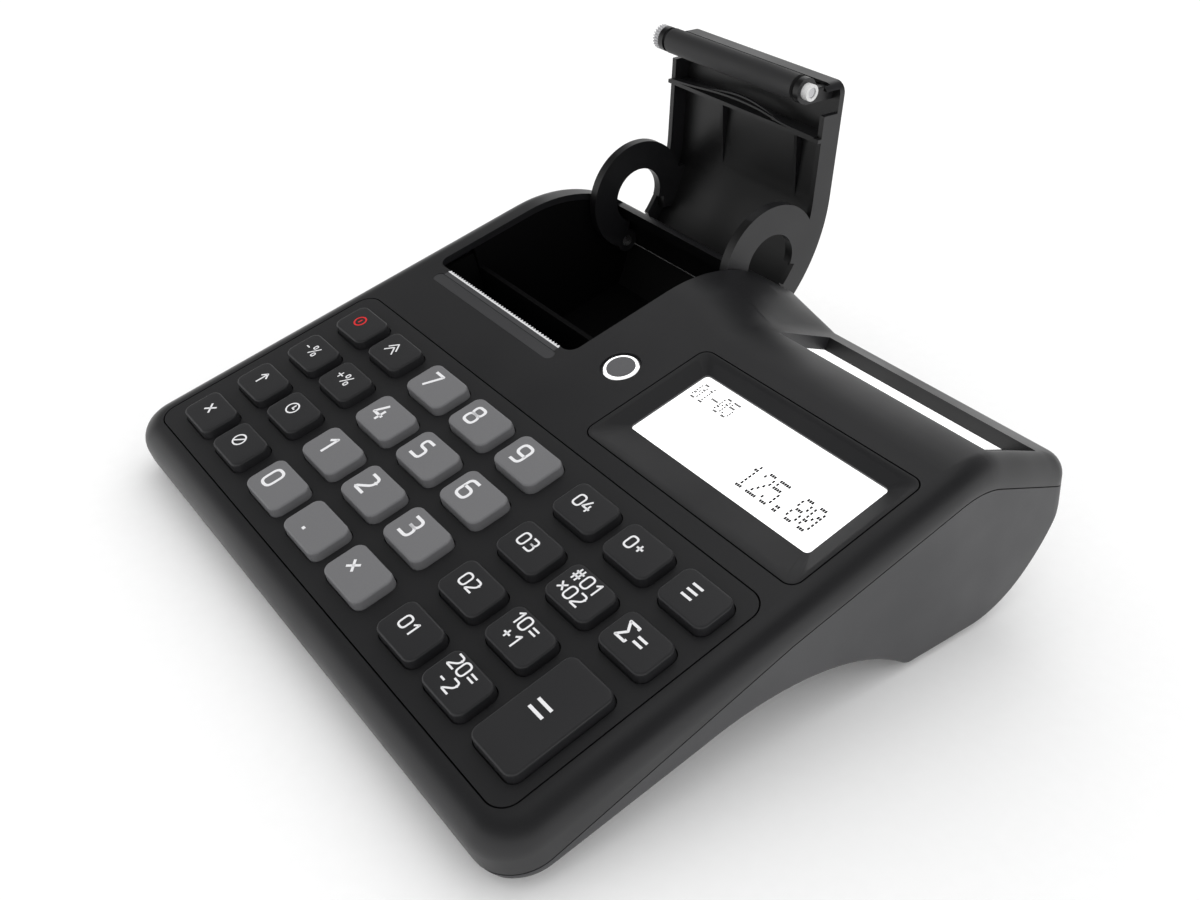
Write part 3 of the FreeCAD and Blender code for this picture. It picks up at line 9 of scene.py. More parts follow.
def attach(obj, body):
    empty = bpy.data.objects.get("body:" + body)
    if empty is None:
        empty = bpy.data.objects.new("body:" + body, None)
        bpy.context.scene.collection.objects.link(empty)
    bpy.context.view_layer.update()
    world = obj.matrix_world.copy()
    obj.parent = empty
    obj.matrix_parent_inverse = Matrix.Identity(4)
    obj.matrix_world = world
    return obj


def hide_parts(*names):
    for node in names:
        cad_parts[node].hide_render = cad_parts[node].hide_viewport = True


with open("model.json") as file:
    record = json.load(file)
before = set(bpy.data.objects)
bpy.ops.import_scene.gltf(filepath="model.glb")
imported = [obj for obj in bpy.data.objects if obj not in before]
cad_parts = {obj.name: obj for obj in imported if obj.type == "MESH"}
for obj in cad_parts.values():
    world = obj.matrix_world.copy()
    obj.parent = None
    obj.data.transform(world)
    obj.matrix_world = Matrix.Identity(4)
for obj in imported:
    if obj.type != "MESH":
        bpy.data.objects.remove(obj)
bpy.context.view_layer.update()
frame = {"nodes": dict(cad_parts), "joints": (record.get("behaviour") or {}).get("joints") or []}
CAD = frame["nodes"]

bl_info = {
    "name": "Ticket register",
    "version": (1, 0, 0),
    "blender": (4, 5, 0),
    "location": "3D View > Sidebar > Register",
    "description": "Dresses a portable ticket register: mouldings, keys, displays, printer and paper bay",
    "category": "Object",
}

MM = 0.001
# Spacing of the slow unevenness in a moulding's gloss, in mm
FLOW_LINES = 28
# Length of a streak in metal as a share of its width
STREAK_LENGTH = 40.0

# The keypad's own frame: X right, Y up the keypad, Z out of it, with its origin in the
# middle of the keypad. A key's joint gives its tilt, and the cover's hinge its place.

JOINTS = {joint["child"]: joint for joint in frame["joints"]}
OUT = -Vector(JOINTS["key_5"]["axis"]).normalized()
UP_PAD = OUT.cross(Vector((1, 0, 0))).normalized()
TURN = Matrix(((1, UP_PAD.x, OUT.x), (0, UP_PAD.y, OUT.y), (0, UP_PAD.z, OUT.z)))
HINGE = Vector((-50.8, 129.5, -27.8)) * MM
PAD_ORIGIN = Vector(JOINTS["cover"]["pos_m"]) - TURN @ HINGE
PAD = Matrix.Translation(PAD_ORIGIN) @ TURN.to_4x4()
OPEN_TURN = -math.radians(104.5)
# Pieces of the cover are drawn in the keypad's frame as if it were shut, and placed by OPENED
SWING = Matrix.Translation(HINGE) @ Matrix.Rotation(OPEN_TURN, 4, "X") @ Matrix.Translation(-HINGE)
OPENED = PAD @ SWING

# Distances up the keypad from its middle, in mm
EDGE_START = 59.75      # the ground edge of the tear blade
SHADE_BEHIND_BAY = 100.0      # the walls behind the paper bay, where painted shade starts
# A wall there faces forward, and gets painted shade, where its normal's part down the keypad is more than
# this
SHADE_FACING = 0.3

# The floor of the finger groove, in mm: its two ends, its edges and its deepest point
GROOVE_LEFT, GROOVE_RIGHT = -78.7, -20.2
GROOVE_FRONT, GROOVE_REAR = 54.45, 58.15
GROOVE_DEEPEST, GROOVE_FLUSH, GROOVE_UNDERSIDE = 0.12, -0.02, -0.78
# Turn between two corners of its round ends, and of the whole end, in degrees
ARC_STEP, HALF_TURN = 15, 180

# Printed film and its place on the keys, in mm
FILM = 0.03
NUMBER_SHIFT = (-2.9, 0.4, 0.0)
SIGN_SHIFT = (-1.5, 0.6, 0.0)
# Lift of each of two rows from the middle, as a share of a sign's height
ROW_LIFTS = (0.64, -0.64)

# The display's rows: name, text, share of the full size, left end and top in mm
DISPLAY_ROWS = (("upper", "01-05", 0.7, 20.6, 78.7), ("lower", "125.80", 1.0, 53.4, 66.7))
DISPLAY_DEPTH = -3.15
# Spacing down and size of a dot, as shares of the spacing across
DOT_SPACING_DOWN, DOT_WIDE, DOT_TALL = 1.84, 0.86, 1.3

# Trim inside the cover, in mm: the line, the corner radius, the width and the two heights
LEAF = ([(-84.3, 76.95), (-74.0, 76.3), (-62.0, 75.0), (-50.0, 74.6), (-40.0, 75.2),
         (-32.0, 76.6), (-18.0, 76.95)], 5.0, 0.6, -9.0, -6.4)
LEAF_BAR = ([(-73.0, 76.4), (-50.0, 72.6), (-31.0, 76.6)], 12.0, 0.5, -8.4, -7.4)
# A near-black strip along the cover's lip: painted shade of its groove
LIP_GROOVE_SHADE = ([(-80.0, 62.05), (-21.5, 62.05)], 0.0, 0.5, -5.04, -4.9)

NUMBER_KEYS = ["key_%d" % n for n in range(10)] + ["key_point", "key_quantity"]
FUNCTION_KEYS = sorted(n for n in CAD if n.startswith("key_") and n not in NUMBER_KEYS
                       and n not in ("key_mat", "key_board"))


# Colours and materials

def linear(hex_value):
    """An sRGB hex value as the linear colour that a socket takes."""
    parts = [int(hex_value[k:k + 2], 16) / 255 for k in (1, 3, 5)]
    return [p / 12.92 if p <= 0.04045 else ((p + 0.055) / 1.055) ** 2.4 for p in parts] + [1.0]


def shade(colour, share):
    """A linear colour made darker or lighter by a share."""
    return [min(1.0, part * share) for part in colour[:3]] + [1.0]


def add(tree, kind, inputs=None, **settings):
    """Add a node with its settings; each input gets a value or a link from another socket."""
    made = tree.nodes.new(kind)
    for name, value in settings.items():
        setattr(made, name, value)
    for name, value in (inputs or {}).items():
        if isinstance(value, bpy.types.NodeSocket):
            tree.links.new(value, made.inputs[name])
        else:
            made.inputs[name].default_value = value
    return made


def new_material(name, **shader):
    """A material with a Principled shader and Object coordinates, and its parts."""
    material = bpy.data.materials.new(name)
    material.use_nodes = True
    tree = material.node_tree
    bsdf = tree.nodes["Principled BSDF"]
    for socket, value in shader.items():
        bsdf.inputs[socket.replace("_", " ")].default_value = value
    place = add(tree, "ShaderNodeTexCoord").outputs["Object"]
    return material, tree, bsdf, place


def moulded(name, colour, roughness, grain, depth, mottle=0.06, specular=0.5):
    """Injection-moulded plastic from a spark-eroded tool.

    A fine pebbled grain (its size and depth in mm) breaks up the highlights, and a slow
    mottle in the gloss shows where hands and flow lines have left the surface uneven."""
    material, tree, bsdf, place = new_material(name, IOR=1.5)
    bsdf.inputs["Specular IOR Level"].default_value = specular
    pebbles = add(tree, "ShaderNodeTexNoise", {"Vector": place, "Scale": 1 / (grain * MM), "Detail": 2.0,
                                               "Roughness": 0.6})
    slow = add(tree, "ShaderNodeTexNoise", {"Vector": place, "Scale": 1 / (FLOW_LINES * MM), "Detail": 3.0})
    rough = add(tree, "ShaderNodeMapRange", {"Value": slow.outputs["Fac"], "From Min": 0.3, "From Max": 0.7,
                                             "To Min": roughness - mottle, "To Max": roughness + mottle})
    base = linear(colour)
    tone = mix_colours(tree, pebbles.outputs["Fac"], shade(base, 0.93), shade(base, 1.07))
    bump = add(tree, "ShaderNodeBump", {"Height": pebbles.outputs["Fac"], "Distance": depth * MM,
                                        "Strength": 1.0})
    tree.links.new(tone, bsdf.inputs["Base Color"])
    tree.links.new(rough.outputs["Result"], bsdf.inputs["Roughness"])
    tree.links.new(bump.outputs["Normal"], bsdf.inputs["Normal"])
    return material


def mix_colours(tree, factor, first, second):
    """Mix two colours, each a value or a socket."""
    mix = tree.nodes.new("ShaderNodeMix")
    mix.data_type = "RGBA"
    tree.links.new(factor, mix.inputs[0])
    for socket, value in ((mix.inputs[6], first), (mix.inputs[7], second)):
        if isinstance(value, bpy.types.NodeSocket):
            tree.links.new(value, socket)
        else:
            socket.default_value = value
    return mix.outputs[2]


def metal(name, colour, roughness, streak):
    """Rolled or turned metal: long streaks along X, spaced streak mm apart."""
    material, tree, bsdf, place = new_material(name, Metallic=1.0)
    lines = add(tree, "ShaderNodeMapping", {"Vector": place, "Scale": (1.0, STREAK_LENGTH, STREAK_LENGTH)})
    grain = add(tree, "ShaderNodeTexNoise", {"Vector": lines.outputs["Vector"],
                                             "Scale": 1 / (streak * MM) / STREAK_LENGTH, "Detail": 4.0})
    rough = add(tree, "ShaderNodeMapRange", {"Value": grain.outputs["Fac"], "From Min": 0.3, "From Max": 0.7,
                                             "To Min": roughness * 0.75, "To Max": roughness * 1.3})
    base = linear(colour)
    tone = mix_colours(tree, grain.outputs["Fac"], shade(base, 0.85), base)
    bump = add(tree, "ShaderNodeBump", {"Height": grain.outputs["Fac"], "Distance": 0.01 * MM,
                                        "Strength": 0.6})
    tree.links.new(tone, bsdf.inputs["Base Color"])
    tree.links.new(rough.outputs["Result"], bsdf.inputs["Roughness"])
    tree.links.new(bump.outputs["Normal"], bsdf.inputs["Normal"])
    return material


def beyond(tree, place, start):
    """1 where a point lies more than start mm up the keypad from its middle, or else 0."""
    along = add(tree, "ShaderNodeVectorMath", {0: place, 1: tuple(UP_PAD)}, operation="DOT_PRODUCT")
    line = UP_PAD.dot(PAD_ORIGIN) + start * MM
    past = add(tree, "ShaderNodeMath", {0: along.outputs["Value"], 1: line}, operation="GREATER_THAN")
    return past.outputs[0]


def black_behind_bay(material, colour):
    """Painted shade: black on the walls that face forward behind the bay."""
    tree = material.node_tree
    base = tree.nodes["Principled BSDF"].inputs["Base Color"]
    own = base.links[0].from_socket
    place = add(tree, "ShaderNodeTexCoord").outputs["Object"]
    facing = add(tree, "ShaderNodeNewGeometry").outputs["True Normal"]
    forward = add(tree, "ShaderNodeVectorMath", {0: facing, 1: tuple(-UP_PAD)}, operation="DOT_PRODUCT")
    shaded_wall = add(tree, "ShaderNodeMath", {0: forward.outputs["Value"], 1: SHADE_FACING}, operation="GREATER_THAN")
    both = add(tree, "ShaderNodeMath", {0: beyond(tree, place, SHADE_BEHIND_BAY), 1: shaded_wall.outputs[0]},
               operation="MULTIPLY")
    tree.links.new(mix_colours(tree, both.outputs[0], own, linear(colour)), base)


def blade_steel(name):
    """Spring steel under black oxide, with the oxide ground off along the teeth."""
    material, tree, bsdf, place = new_material(name, Roughness=0.42)
    grind = add(tree, "ShaderNodeTexNoise", {"Vector": place, "Scale": 1 / (0.4 * MM), "Detail": 3.0})
    edge = beyond(tree, place, EDGE_START)
    bright = mix_colours(tree, grind.outputs["Fac"], linear("#e2e2e4"), linear("#f8f8fa"))
    tree.links.new(mix_colours(tree, edge, linear("#4a4a4c"), bright), bsdf.inputs["Base Color"])
    sheen = add(tree, "ShaderNodeMapRange", {"Value": edge, "To Min": 0.3, "To Max": 0.2})
    tree.links.new(sheen.outputs["Result"], bsdf.inputs["Metallic"])
    bump = add(tree, "ShaderNodeBump", {"Height": grind.outputs["Fac"], "Distance": 0.005 * MM,
                                        "Strength": 0.6})
    tree.links.new(bump.outputs["Normal"], bsdf.inputs["Normal"])
    return material


def lit(name, colour, glow):
    """White display or ring with painted light: an even glow keeps its tone in shade."""
    material, tree, bsdf, place = new_material(name, Roughness=0.25)
    tone = linear(colour)
    cells = add(tree, "ShaderNodeTexNoise", {"Vector": place, "Scale": 1 / (6 * MM), "Detail": 1.0})
    base = mix_colours(tree, cells.outputs["Fac"], shade(tone, 0.97), tone)
    tree.links.new(base, bsdf.inputs["Base Color"])
    tree.links.new(base, bsdf.inputs["Emission Color"])
    bsdf.inputs["Emission Strength"].default_value = glow
    return material


def ink(name, colour):
    """Pad-printed ink: thin, even and a little glossier than the moulding under it."""
    material, tree, bsdf, place = new_material(name, Roughness=0.4)
    specks = add(tree, "ShaderNodeTexNoise", {"Vector": place, "Scale": 1 / (0.5 * MM), "Detail": 2.0})
    tone = linear(colour)
    speckled = mix_colours(tree, specks.outputs["Fac"], shade(tone, 0.95), tone)
    tree.links.new(speckled, bsdf.inputs["Base Color"])
    return material


# Mesh helpers

# Steepest angle between two faces that still shade as one surface, in degrees
CASE_ANGLE, KEY_ANGLE = 32.0, 40.0
# Distance in mm under which two corners are one
MERGE = 0.002


def pad_bounds(node):
    """Lowest and highest corner of a CAD piece in the keypad's frame."""
    back = PAD.inverted()
    points = [back @ v.co for v in CAD[node].data.vertices]
    return [Vector(pick(p[axis] for p in points) for axis in range(3)) for pick in (min, max)]


def mesh_object(name, vertices, faces, material, place=None):
    """An object from vertices in metres and faces, moved into place."""
    mesh = bpy.data.meshes.new(name)
    mesh.from_pydata([tuple(v) for v in vertices], [], faces)
    mesh.update()
    return finish_object(name, mesh, material, place)


def finish_object(name, mesh, material, place=None):
    """Give a mesh its place and material, and show it as an object."""
    if place is not None:
        mesh.transform(place)
    mesh.materials.clear()
    mesh.materials.append(material)
    made = bpy.data.objects.new(name, mesh)
    bpy.context.scene.collection.objects.link(made)
    return made


def settle(made, body):
    """Let an object ride on a body."""
    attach(made, body)
    return made


def smooth_copy(node, name, material, body, angle=CASE_ANGLE):
    """A CAD piece with its loose triangles joined, shaded smooth over edges flatter than an angle."""
    work = bmesh.new()
    work.from_mesh(CAD[node].data)
    bmesh.ops.remove_doubles(work, verts=work.verts, dist=MERGE * MM)
    bmesh.ops.dissolve_degenerate(work, edges=work.edges, dist=MERGE / 4 * MM)
    limit = math.radians(angle)
    for face in work.faces:
        face.smooth = True
        face.material_index = 0
    for edge in work.edges:
        edge.smooth = len(edge.link_faces) == 2 and edge.calc_face_angle(0.0) < limit
    mesh = bpy.data.meshes.new(name)
    work.to_mesh(mesh)
    work.free()
    made = finish_object(name, mesh, material)
    settle(made, body)
    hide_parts(node)
    return made


def join(parts):
    """Vertices and faces of several (vertices, faces) pairs as one pair."""
    vertices, faces = [], []
    for some, rings in parts:
        shift = len(vertices)
        vertices += some
        faces += [[k + shift for k in ring] for ring in rings]
    return vertices, faces


def prism(outline, tops, low):
    """A block over an anticlockwise outline in XY, with a top height for each corner, in mm."""
    count = len(outline)
    vertices = [Vector((x, y, top)) * MM for (x, y), top in zip(outline, tops)]
    vertices += [Vector((x, y, low)) * MM for x, y in outline]
    sides = [[k, count + k, count + (k + 1) % count, (k + 1) % count] for k in range(count)]
    return vertices, [list(range(count)), list(range(2 * count - 1, count - 1, -1))] + sides


def finger_ramp():
    """The sloping floor of the finger groove: flush at its front edge, deepest at the tear blade."""
    long = GROOVE_REAR - GROOVE_FRONT
    radius = long / 2
    outline = []
    for x, start in ((GROOVE_RIGHT, -90), (GROOVE_LEFT, 90)):
        for turn in range(start, start + HALF_TURN + 1, ARC_STEP):
            angle = math.radians(turn)
            outline.append((x + radius * math.cos(angle), GROOVE_FRONT + radius + radius * math.sin(angle)))
    tops = [GROOVE_FLUSH - GROOVE_DEEPEST * (y - GROOVE_FRONT) / long for x, y in outline]
    return prism(outline, tops, GROOVE_UNDERSIDE)


# Printed legends: strokes of one width with softened corners

def soften(points, radius, closed=False, steps=5):
    """Round the corners of a line of points."""
    count = len(points)
    result = []
    for k, corner in enumerate(points):
        if not closed and k in (0, count - 1):
            result.append(Vector(corner))
            continue
        here = Vector(corner)
        before, after = Vector(points[k - 1]) - here, Vector(points[(k + 1) % count]) - here
        cut = min(radius, before.length / 2, after.length / 2)
        start, end = here + before.normalized() * cut, here + after.normalized() * cut
        for step in range(steps + 1):
            t = step / steps
            result.append(start * (1 - t) ** 2 + here * 2 * t * (1 - t) + end * t * t)
    return result


def ribbon(points, width, closed=False, low=0.0, high=FILM):
    """A band of one width along a line, between two heights: a film of ink if none are given."""
    count = len(points)
    sides = []
    for k, here in enumerate(points):
        before = points[k - 1] if k or closed else None
        after = points[(k + 1) % count] if k < count - 1 or closed else None
        ways = [(here - before).normalized()] if before is not None else []
        ways += [(after - here).normalized()] if after is not None else []
        way = sum(ways, Vector((0, 0))).normalized()
        normal = Vector((-way.y, way.x))
        reach = width / 2 / max(0.5, normal.dot(Vector((-ways[0].y, ways[0].x))))
        sides.append((here + normal * reach, here - normal * reach))
    vertices, faces = [], []
    for left, right in sides:
        vertices += [(side.x, side.y, height) for height in (low, high) for side in (left, right)]
    for k in range(count if closed else count - 1):
        a, b = 4 * k, 4 * ((k + 1) % count)
        faces += [[a + 2, a + 3, b + 3, b + 2], [a, b, b + 1, a + 1],
                  [a, a + 2, b + 2, b], [a + 1, b + 1, b + 3, a + 3]]
    if not closed:
        last = 4 * (count - 1)
        faces += [[0, 1, 3, 2], [last, last + 2, last + 3, last + 1]]
    return vertices, faces


def in_mm(part):
    """A (vertices, faces) pair in mm as one in metres."""
    return [Vector(v) * MM for v in part[0]], part[1]


def ring(cx, cy, radius, steps=28):
    """The points of a circle."""
    turns = [math.radians(360.0 * k / steps) for k in range(steps)]
    return [Vector((cx + radius * math.cos(turn), cy + radius * math.sin(turn))) for turn in turns]


def strip(shape, place, material, name):
    """A ribbon with its corners rounded, on the cover: its line, radius, width and heights in mm."""
    points, radius, width, low, high = shape
    line = soften(points, radius) if radius else [Vector(point) for point in points]
    made = mesh_object(name, *in_mm(ribbon(line, width, False, low, high)), material, place)
    return settle(made, "cover")


# Glyphs as strokes in a box one unit high: (points, corner radius, closed)
GLYPHS = {
    "0": [([(0, 0), (0.66, 0), (0.66, 1), (0, 1)], 0.3, True)],
    "1": [([(0.1, 0.72), (0.42, 1.0), (0.42, 0)], 0.03, False)],
    "2": [([(0.02, 1), (0.64, 1), (0.64, 0.55), (0.02, 0.08), (0.02, 0), (0.68, 0)], 0.24, False)],
    "3": [([(0.0, 1), (0.64, 1), (0.64, 0.53), (0.16, 0.53)], 0.22, False),
          ([(0.16, 0.53), (0.66, 0.53), (0.66, 0), (0, 0)], 0.24, False)],
    "4": [([(0.38, 1), (0, 0.3), (0.72, 0.3)], 0.02, False), ([(0.52, 0.66), (0.52, 0)], 0, False)],
    "5": [([(0.62, 1), (0.06, 1), (0.06, 0.56), (0.66, 0.56), (0.66, 0), (0, 0)], 0.2, False)],
    "6": [([(0.58, 1), (0.0, 1), (0, 0), (0.66, 0), (0.66, 0.57), (0.02, 0.57)], 0.26, False)],
    "7": [([(0, 1), (0.66, 1), (0.2, 0)], 0.05, False)],
    "8": [([(0.03, 0.54), (0.63, 0.54), (0.63, 1), (0.03, 1)], 0.21, True),
          ([(0, 0), (0.66, 0), (0.66, 0.54), (0, 0.54)], 0.24, True)],
    "9": [([(0.08, 0), (0.66, 0), (0.66, 1), (0, 1), (0, 0.43), (0.64, 0.43)], 0.26, False)],
    "+": [([(0.05, 0.5), (0.65, 0.5)], 0, False), ([(0.35, 0.2), (0.35, 0.8)], 0, False)],
    "-": [([(0.08, 0.45), (0.5, 0.45)], 0, False)],
    ".": [([(0.25, 0.0), (0.43, 0.0)], 0, False)],
    "x": [([(0.1, 0.22), (0.66, 0.78)], 0, False), ([(0.1, 0.78), (0.66, 0.22)], 0, False)],
    "=": [([(0.05, 0.32), (0.7, 0.32)], 0, False), ([(0.05, 0.66), (0.7, 0.66)], 0, False)],
    "menu": [([(0.05, 0.12), (0.75, 0.12)], 0, False), ([(0.05, 0.5), (0.75, 0.5)], 0, False),
             ([(0.05, 0.88), (0.75, 0.88)], 0, False)],
    "%": [([(0.12, 0.0), (0.74, 1.0)], 0, False),
          ([(0.0, 0.62), (0.28, 0.62), (0.28, 1), (0, 1)], 0.13, True),
          ([(0.58, 0.0), (0.86, 0.0), (0.86, 0.38), (0.58, 0.38)], 0.13, True)],
    "sum": [([(0.72, 0.86), (0.72, 1), (0.04, 1), (0.42, 0.5), (0.04, 0), (0.72, 0), (0.72, 0.14)],
             0.02, False)],
    "up": [([(0.38, 0.0), (0.38, 0.98)], 0, False), ([(0.04, 0.62), (0.38, 1.0), (0.72, 0.62)], 0.02, False)],
    "hash": [([(0.28, 0), (0.34, 1)], 0, False), ([(0.6, 0), (0.66, 1)], 0, False),
             ([(0.08, 0.34), (0.82, 0.34)], 0, False), ([(0.12, 0.68), (0.86, 0.68)], 0, False)],
    "feed": [([(0.0, 0.38), (0.46, 0.95), (0.92, 0.38)], 0.04, False),
             ([(0.0, 0.0), (0.46, 0.57), (0.92, 0.0)], 0.04, False)],
}
# Widths that differ from the usual one
USUAL_WIDTH = 0.68
WIDTHS = {"1": 0.52, ".": 0.3, "-": 0.62, "%": 0.86, "menu": 0.8, "feed": 0.92, "hash": 0.9, "up": 0.76,
          "sum": 0.74}

# Round signs: the middle and radius of the circle, and the line inside it
ROUND_SIGNS = {
    "clock": ((0.5, 0.5, 0.5), [(0.5, 0.84), (0.5, 0.48), (0.76, 0.48)]),
    "void": ((0.5, 0.5, 0.5), [(0.18, 0.18), (0.82, 0.82)]),
    "power": ((0.5, 0.47, 0.46), [(0.5, 0.3), (0.5, 0.66)]),
}


def stroke_parts(sign, width):
    """The strokes of one sign, in units of its height."""
    if sign in ROUND_SIGNS:
        circle, inner = ROUND_SIGNS[sign]
        return [ribbon(ring(*circle), width, True), ribbon([Vector(point) for point in inner], width)]
    parts = []
    for points, radius, closed in GLYPHS[sign]:
        line = soften(points, radius, closed) if radius else [Vector(p) for p in points]
        parts.append(ribbon(line, width, closed))
    return parts


def legend(signs, height, stroke, lift=0.0, spacing=0.22):
    """A row of signs, centred across and lifted from the middle by a share of its height, in mm."""
    parts, x = [], 0.0
    for sign in signs:
        for vertices, faces in stroke_parts(sign, stroke / height):
            parts.append(([(v[0] + x, v[1], v[2] / height) for v in vertices], faces))
        x += (1.0 if sign in ROUND_SIGNS else WIDTHS.get(sign, USUAL_WIDTH)) + spacing
    vertices, faces = join(parts)
    shift = (x - spacing) / 2
    return [((v[0] - shift) * height, (v[1] - 0.5 + lift) * height, v[2] * height) for v in vertices], faces


# Signs on each key, row by row: plain numbers, arithmetic signs and simple pictures
LEGENDS = {
    "key_clear": ["x"], "key_alternate": ["up"], "key_minus_percent": ["-", "%"], "key_power": ["power"],
    "key_void": ["void"], "key_clock": ["clock"], "key_plus_percent": ["+", "%"], "key_paper_feed": ["feed"],
    "key_point": ["."], "key_quantity": ["x"], "key_group_01": ["0", "1"], "key_group_02": ["0", "2"],
    "key_group_03": ["0", "3"], "key_group_04": ["0", "4"], "key_pay_second": ["2", "0", "="],
    "key_pay_first": ["1", "0", "="], "key_lookup": ["hash", "0", "1"], "key_shift": ["0", "+"],
    "key_total": ["="], "key_subtotal": ["sum", "="], "key_mode": ["menu"],
}
LOWER_ROWS = {"key_pay_second": ["-", "2"], "key_pay_first": ["+", "1"], "key_lookup": ["x", "0", "2"]}
for digit in range(10):
    LEGENDS["key_%d" % digit] = [str(digit)]
# Sign heights and stroke widths that differ from the usual ones, as shares of them
SIGN_SHARES = {
    "key_total": (2.1, 0.75), "key_subtotal": (1.3, 1.0), "key_mode": (1.35, 0.95), "key_clear": (1.4, 0.8),
    "key_alternate": (1.2, 0.85), "key_minus_percent": (1.05, 0.7), "key_plus_percent": (1.05, 0.7),
    "key_power": (1.15, 0.85), "key_paper_feed": (1.25, 0.7), "key_void": (1.1, 0.85),
    "key_clock": (1.1, 0.8), "key_quantity": (0.85, 1.0), "key_pay_second": (1.0, 0.95),
    "key_pay_first": (1.0, 0.95), "key_lookup": (1.0, 0.95),
}

# Five by seven dot patterns of the display's numerals, a row of each as a number
DOTS = {
    "0": (14, 17, 19, 21, 25, 17, 14), "1": (4, 12, 4, 4, 4, 4, 14), "2": (14, 17, 1, 2, 4, 8, 31),
    "3": (31, 2, 4, 2, 1, 17, 14), "4": (2, 6, 10, 18, 31, 2, 2), "5": (31, 16, 30, 1, 1, 17, 14),
    "6": (6, 8, 16, 30, 17, 17, 14), "7": (31, 1, 2, 4, 8, 8, 8), "8": (14, 17, 17, 14, 17, 17, 14),
    "9": (14, 17, 17, 15, 1, 2, 12), ".": (0, 0, 0, 0, 0, 12, 12), "-": (0, 0, 0, 31, 0, 0, 0),
}
DOT_COLUMNS = 5


def lit_dots(text, pitch, left, top):
    """The places of the dark dots of a row of numerals, in mm."""
    places = []
    for index, letter in enumerate(text):
        for row, bits in enumerate(DOTS[letter]):
            for column in range(DOT_COLUMNS):
                if bits >> (DOT_COLUMNS - 1 - column) & 1:
                    across = index * (DOT_COLUMNS + 1) + column
                    places.append((left + across * pitch[0], top - row * pitch[1], 0.0))
    return places


def dot_tree():
    """Geometry Nodes: a small square at each point of the input mesh."""
    tree = bpy.data.node_groups.new("Display dots", "GeometryNodeTree")
    face = tree.interface
    face.new_socket("Geometry", in_out="INPUT", socket_type="NodeSocketGeometry")
    sockets = {}
    for name in ("Dot width", "Dot height"):
        sockets[name] = face.new_socket(name, in_out="INPUT", socket_type="NodeSocketFloat").identifier
    finish = face.new_socket("Material", in_out="INPUT", socket_type="NodeSocketMaterial")
    sockets["Material"] = finish.identifier
    face.new_socket("Geometry", in_out="OUTPUT", socket_type="NodeSocketGeometry")
    given = add(tree, "NodeGroupInput")
    points = add(tree, "GeometryNodeMeshToPoints", {"Mesh": given.outputs["Geometry"]})
    square = add(tree, "GeometryNodeMeshGrid", {"Size X": given.outputs["Dot width"],
                                                "Size Y": given.outputs["Dot height"],
                                                "Vertices X": 2, "Vertices Y": 2})
    copies = add(tree, "GeometryNodeInstanceOnPoints", {"Points": points.outputs["Points"],
                                                        "Instance": square.outputs["Mesh"]})
    real = add(tree, "GeometryNodeRealizeInstances", {"Geometry": copies.outputs["Instances"]})
    coat = add(tree, "GeometryNodeSetMaterial", {"Geometry": real.outputs["Geometry"],
                                                 "Material": given.outputs["Material"]})
    add(tree, "NodeGroupOutput", {"Geometry": coat.outputs["Geometry"]})
    return tree, sockets


def run_tree(name, tree, sockets, points, values, material, place):
    """Run a tree on a set of points and keep the result as a plain mesh."""
    seed = bpy.data.meshes.new(name + "_points")
    seed.from_pydata(points, [], [])
    holder = bpy.data.objects.new(name + "_holder", seed)
    bpy.context.scene.collection.objects.link(holder)
    modifier = holder.modifiers.new("Nodes", "NODES")
    modifier.node_group = tree
    for label, value in values.items():
        modifier[sockets[label]] = value
    modifier[sockets["Material"]] = material
    evaluated = holder.evaluated_get(bpy.context.evaluated_depsgraph_get())
    mesh = bpy.data.meshes.new_from_object(evaluated)
    bpy.data.objects.remove(holder)
    return finish_object(name, mesh, material, place)


# Settings that a user would change

class RegisterSizes(bpy.types.PropertyGroup):
    digit_height: bpy.props.FloatProperty(
        name="Digit height", description="Height of the numerals on the grey keys", default=5.7 * MM,
        unit="LENGTH")
    sign_height: bpy.props.FloatProperty(
        name="Sign height", description="Usual height of the signs on the black keys", default=3.5 * MM,
        unit="LENGTH")
    stroke: bpy.props.FloatProperty(
        name="Stroke", description="Width of a sign's strokes as a share of its height", default=0.15,
        min=0.05, max=0.3)
    dot_pitch: bpy.props.FloatProperty(
        name="Dot pitch", description="Spacing of the display's dots across", default=0.705 * MM,
        unit="LENGTH")


class RegisterColours(bpy.types.PropertyGroup):
    case: bpy.props.StringProperty(
        name="Case", description="Upper case plastic, sRGB hex", default="#1a1a1c")
    # The lower case's colour is the case plastic made lighter: painted light on its side walls
    base: bpy.props.StringProperty(
        name="Base", description="Lower case plastic, sRGB hex", default="#3a3a3c")
    number_key: bpy.props.StringProperty(
        name="Number keys", description="Grey key plastic, sRGB hex", default="#6f6f71")
    function_key: bpy.props.StringProperty(
        name="Function keys", description="Black key plastic, sRGB hex", default="#232325")
    print_colour: bpy.props.StringProperty(
        name="Signs", description="Ink of the key signs, sRGB hex", default="#ececee")


MATERIALS = {}
# Black of the bin's own plastic, also used as painted shade on the walls behind the bay
BIN_BLACK_AND_SHADE = "#060607"


def sizes():
    return bpy.context.scene.register_sizes


def colours():
    return bpy.context.scene.register_colours


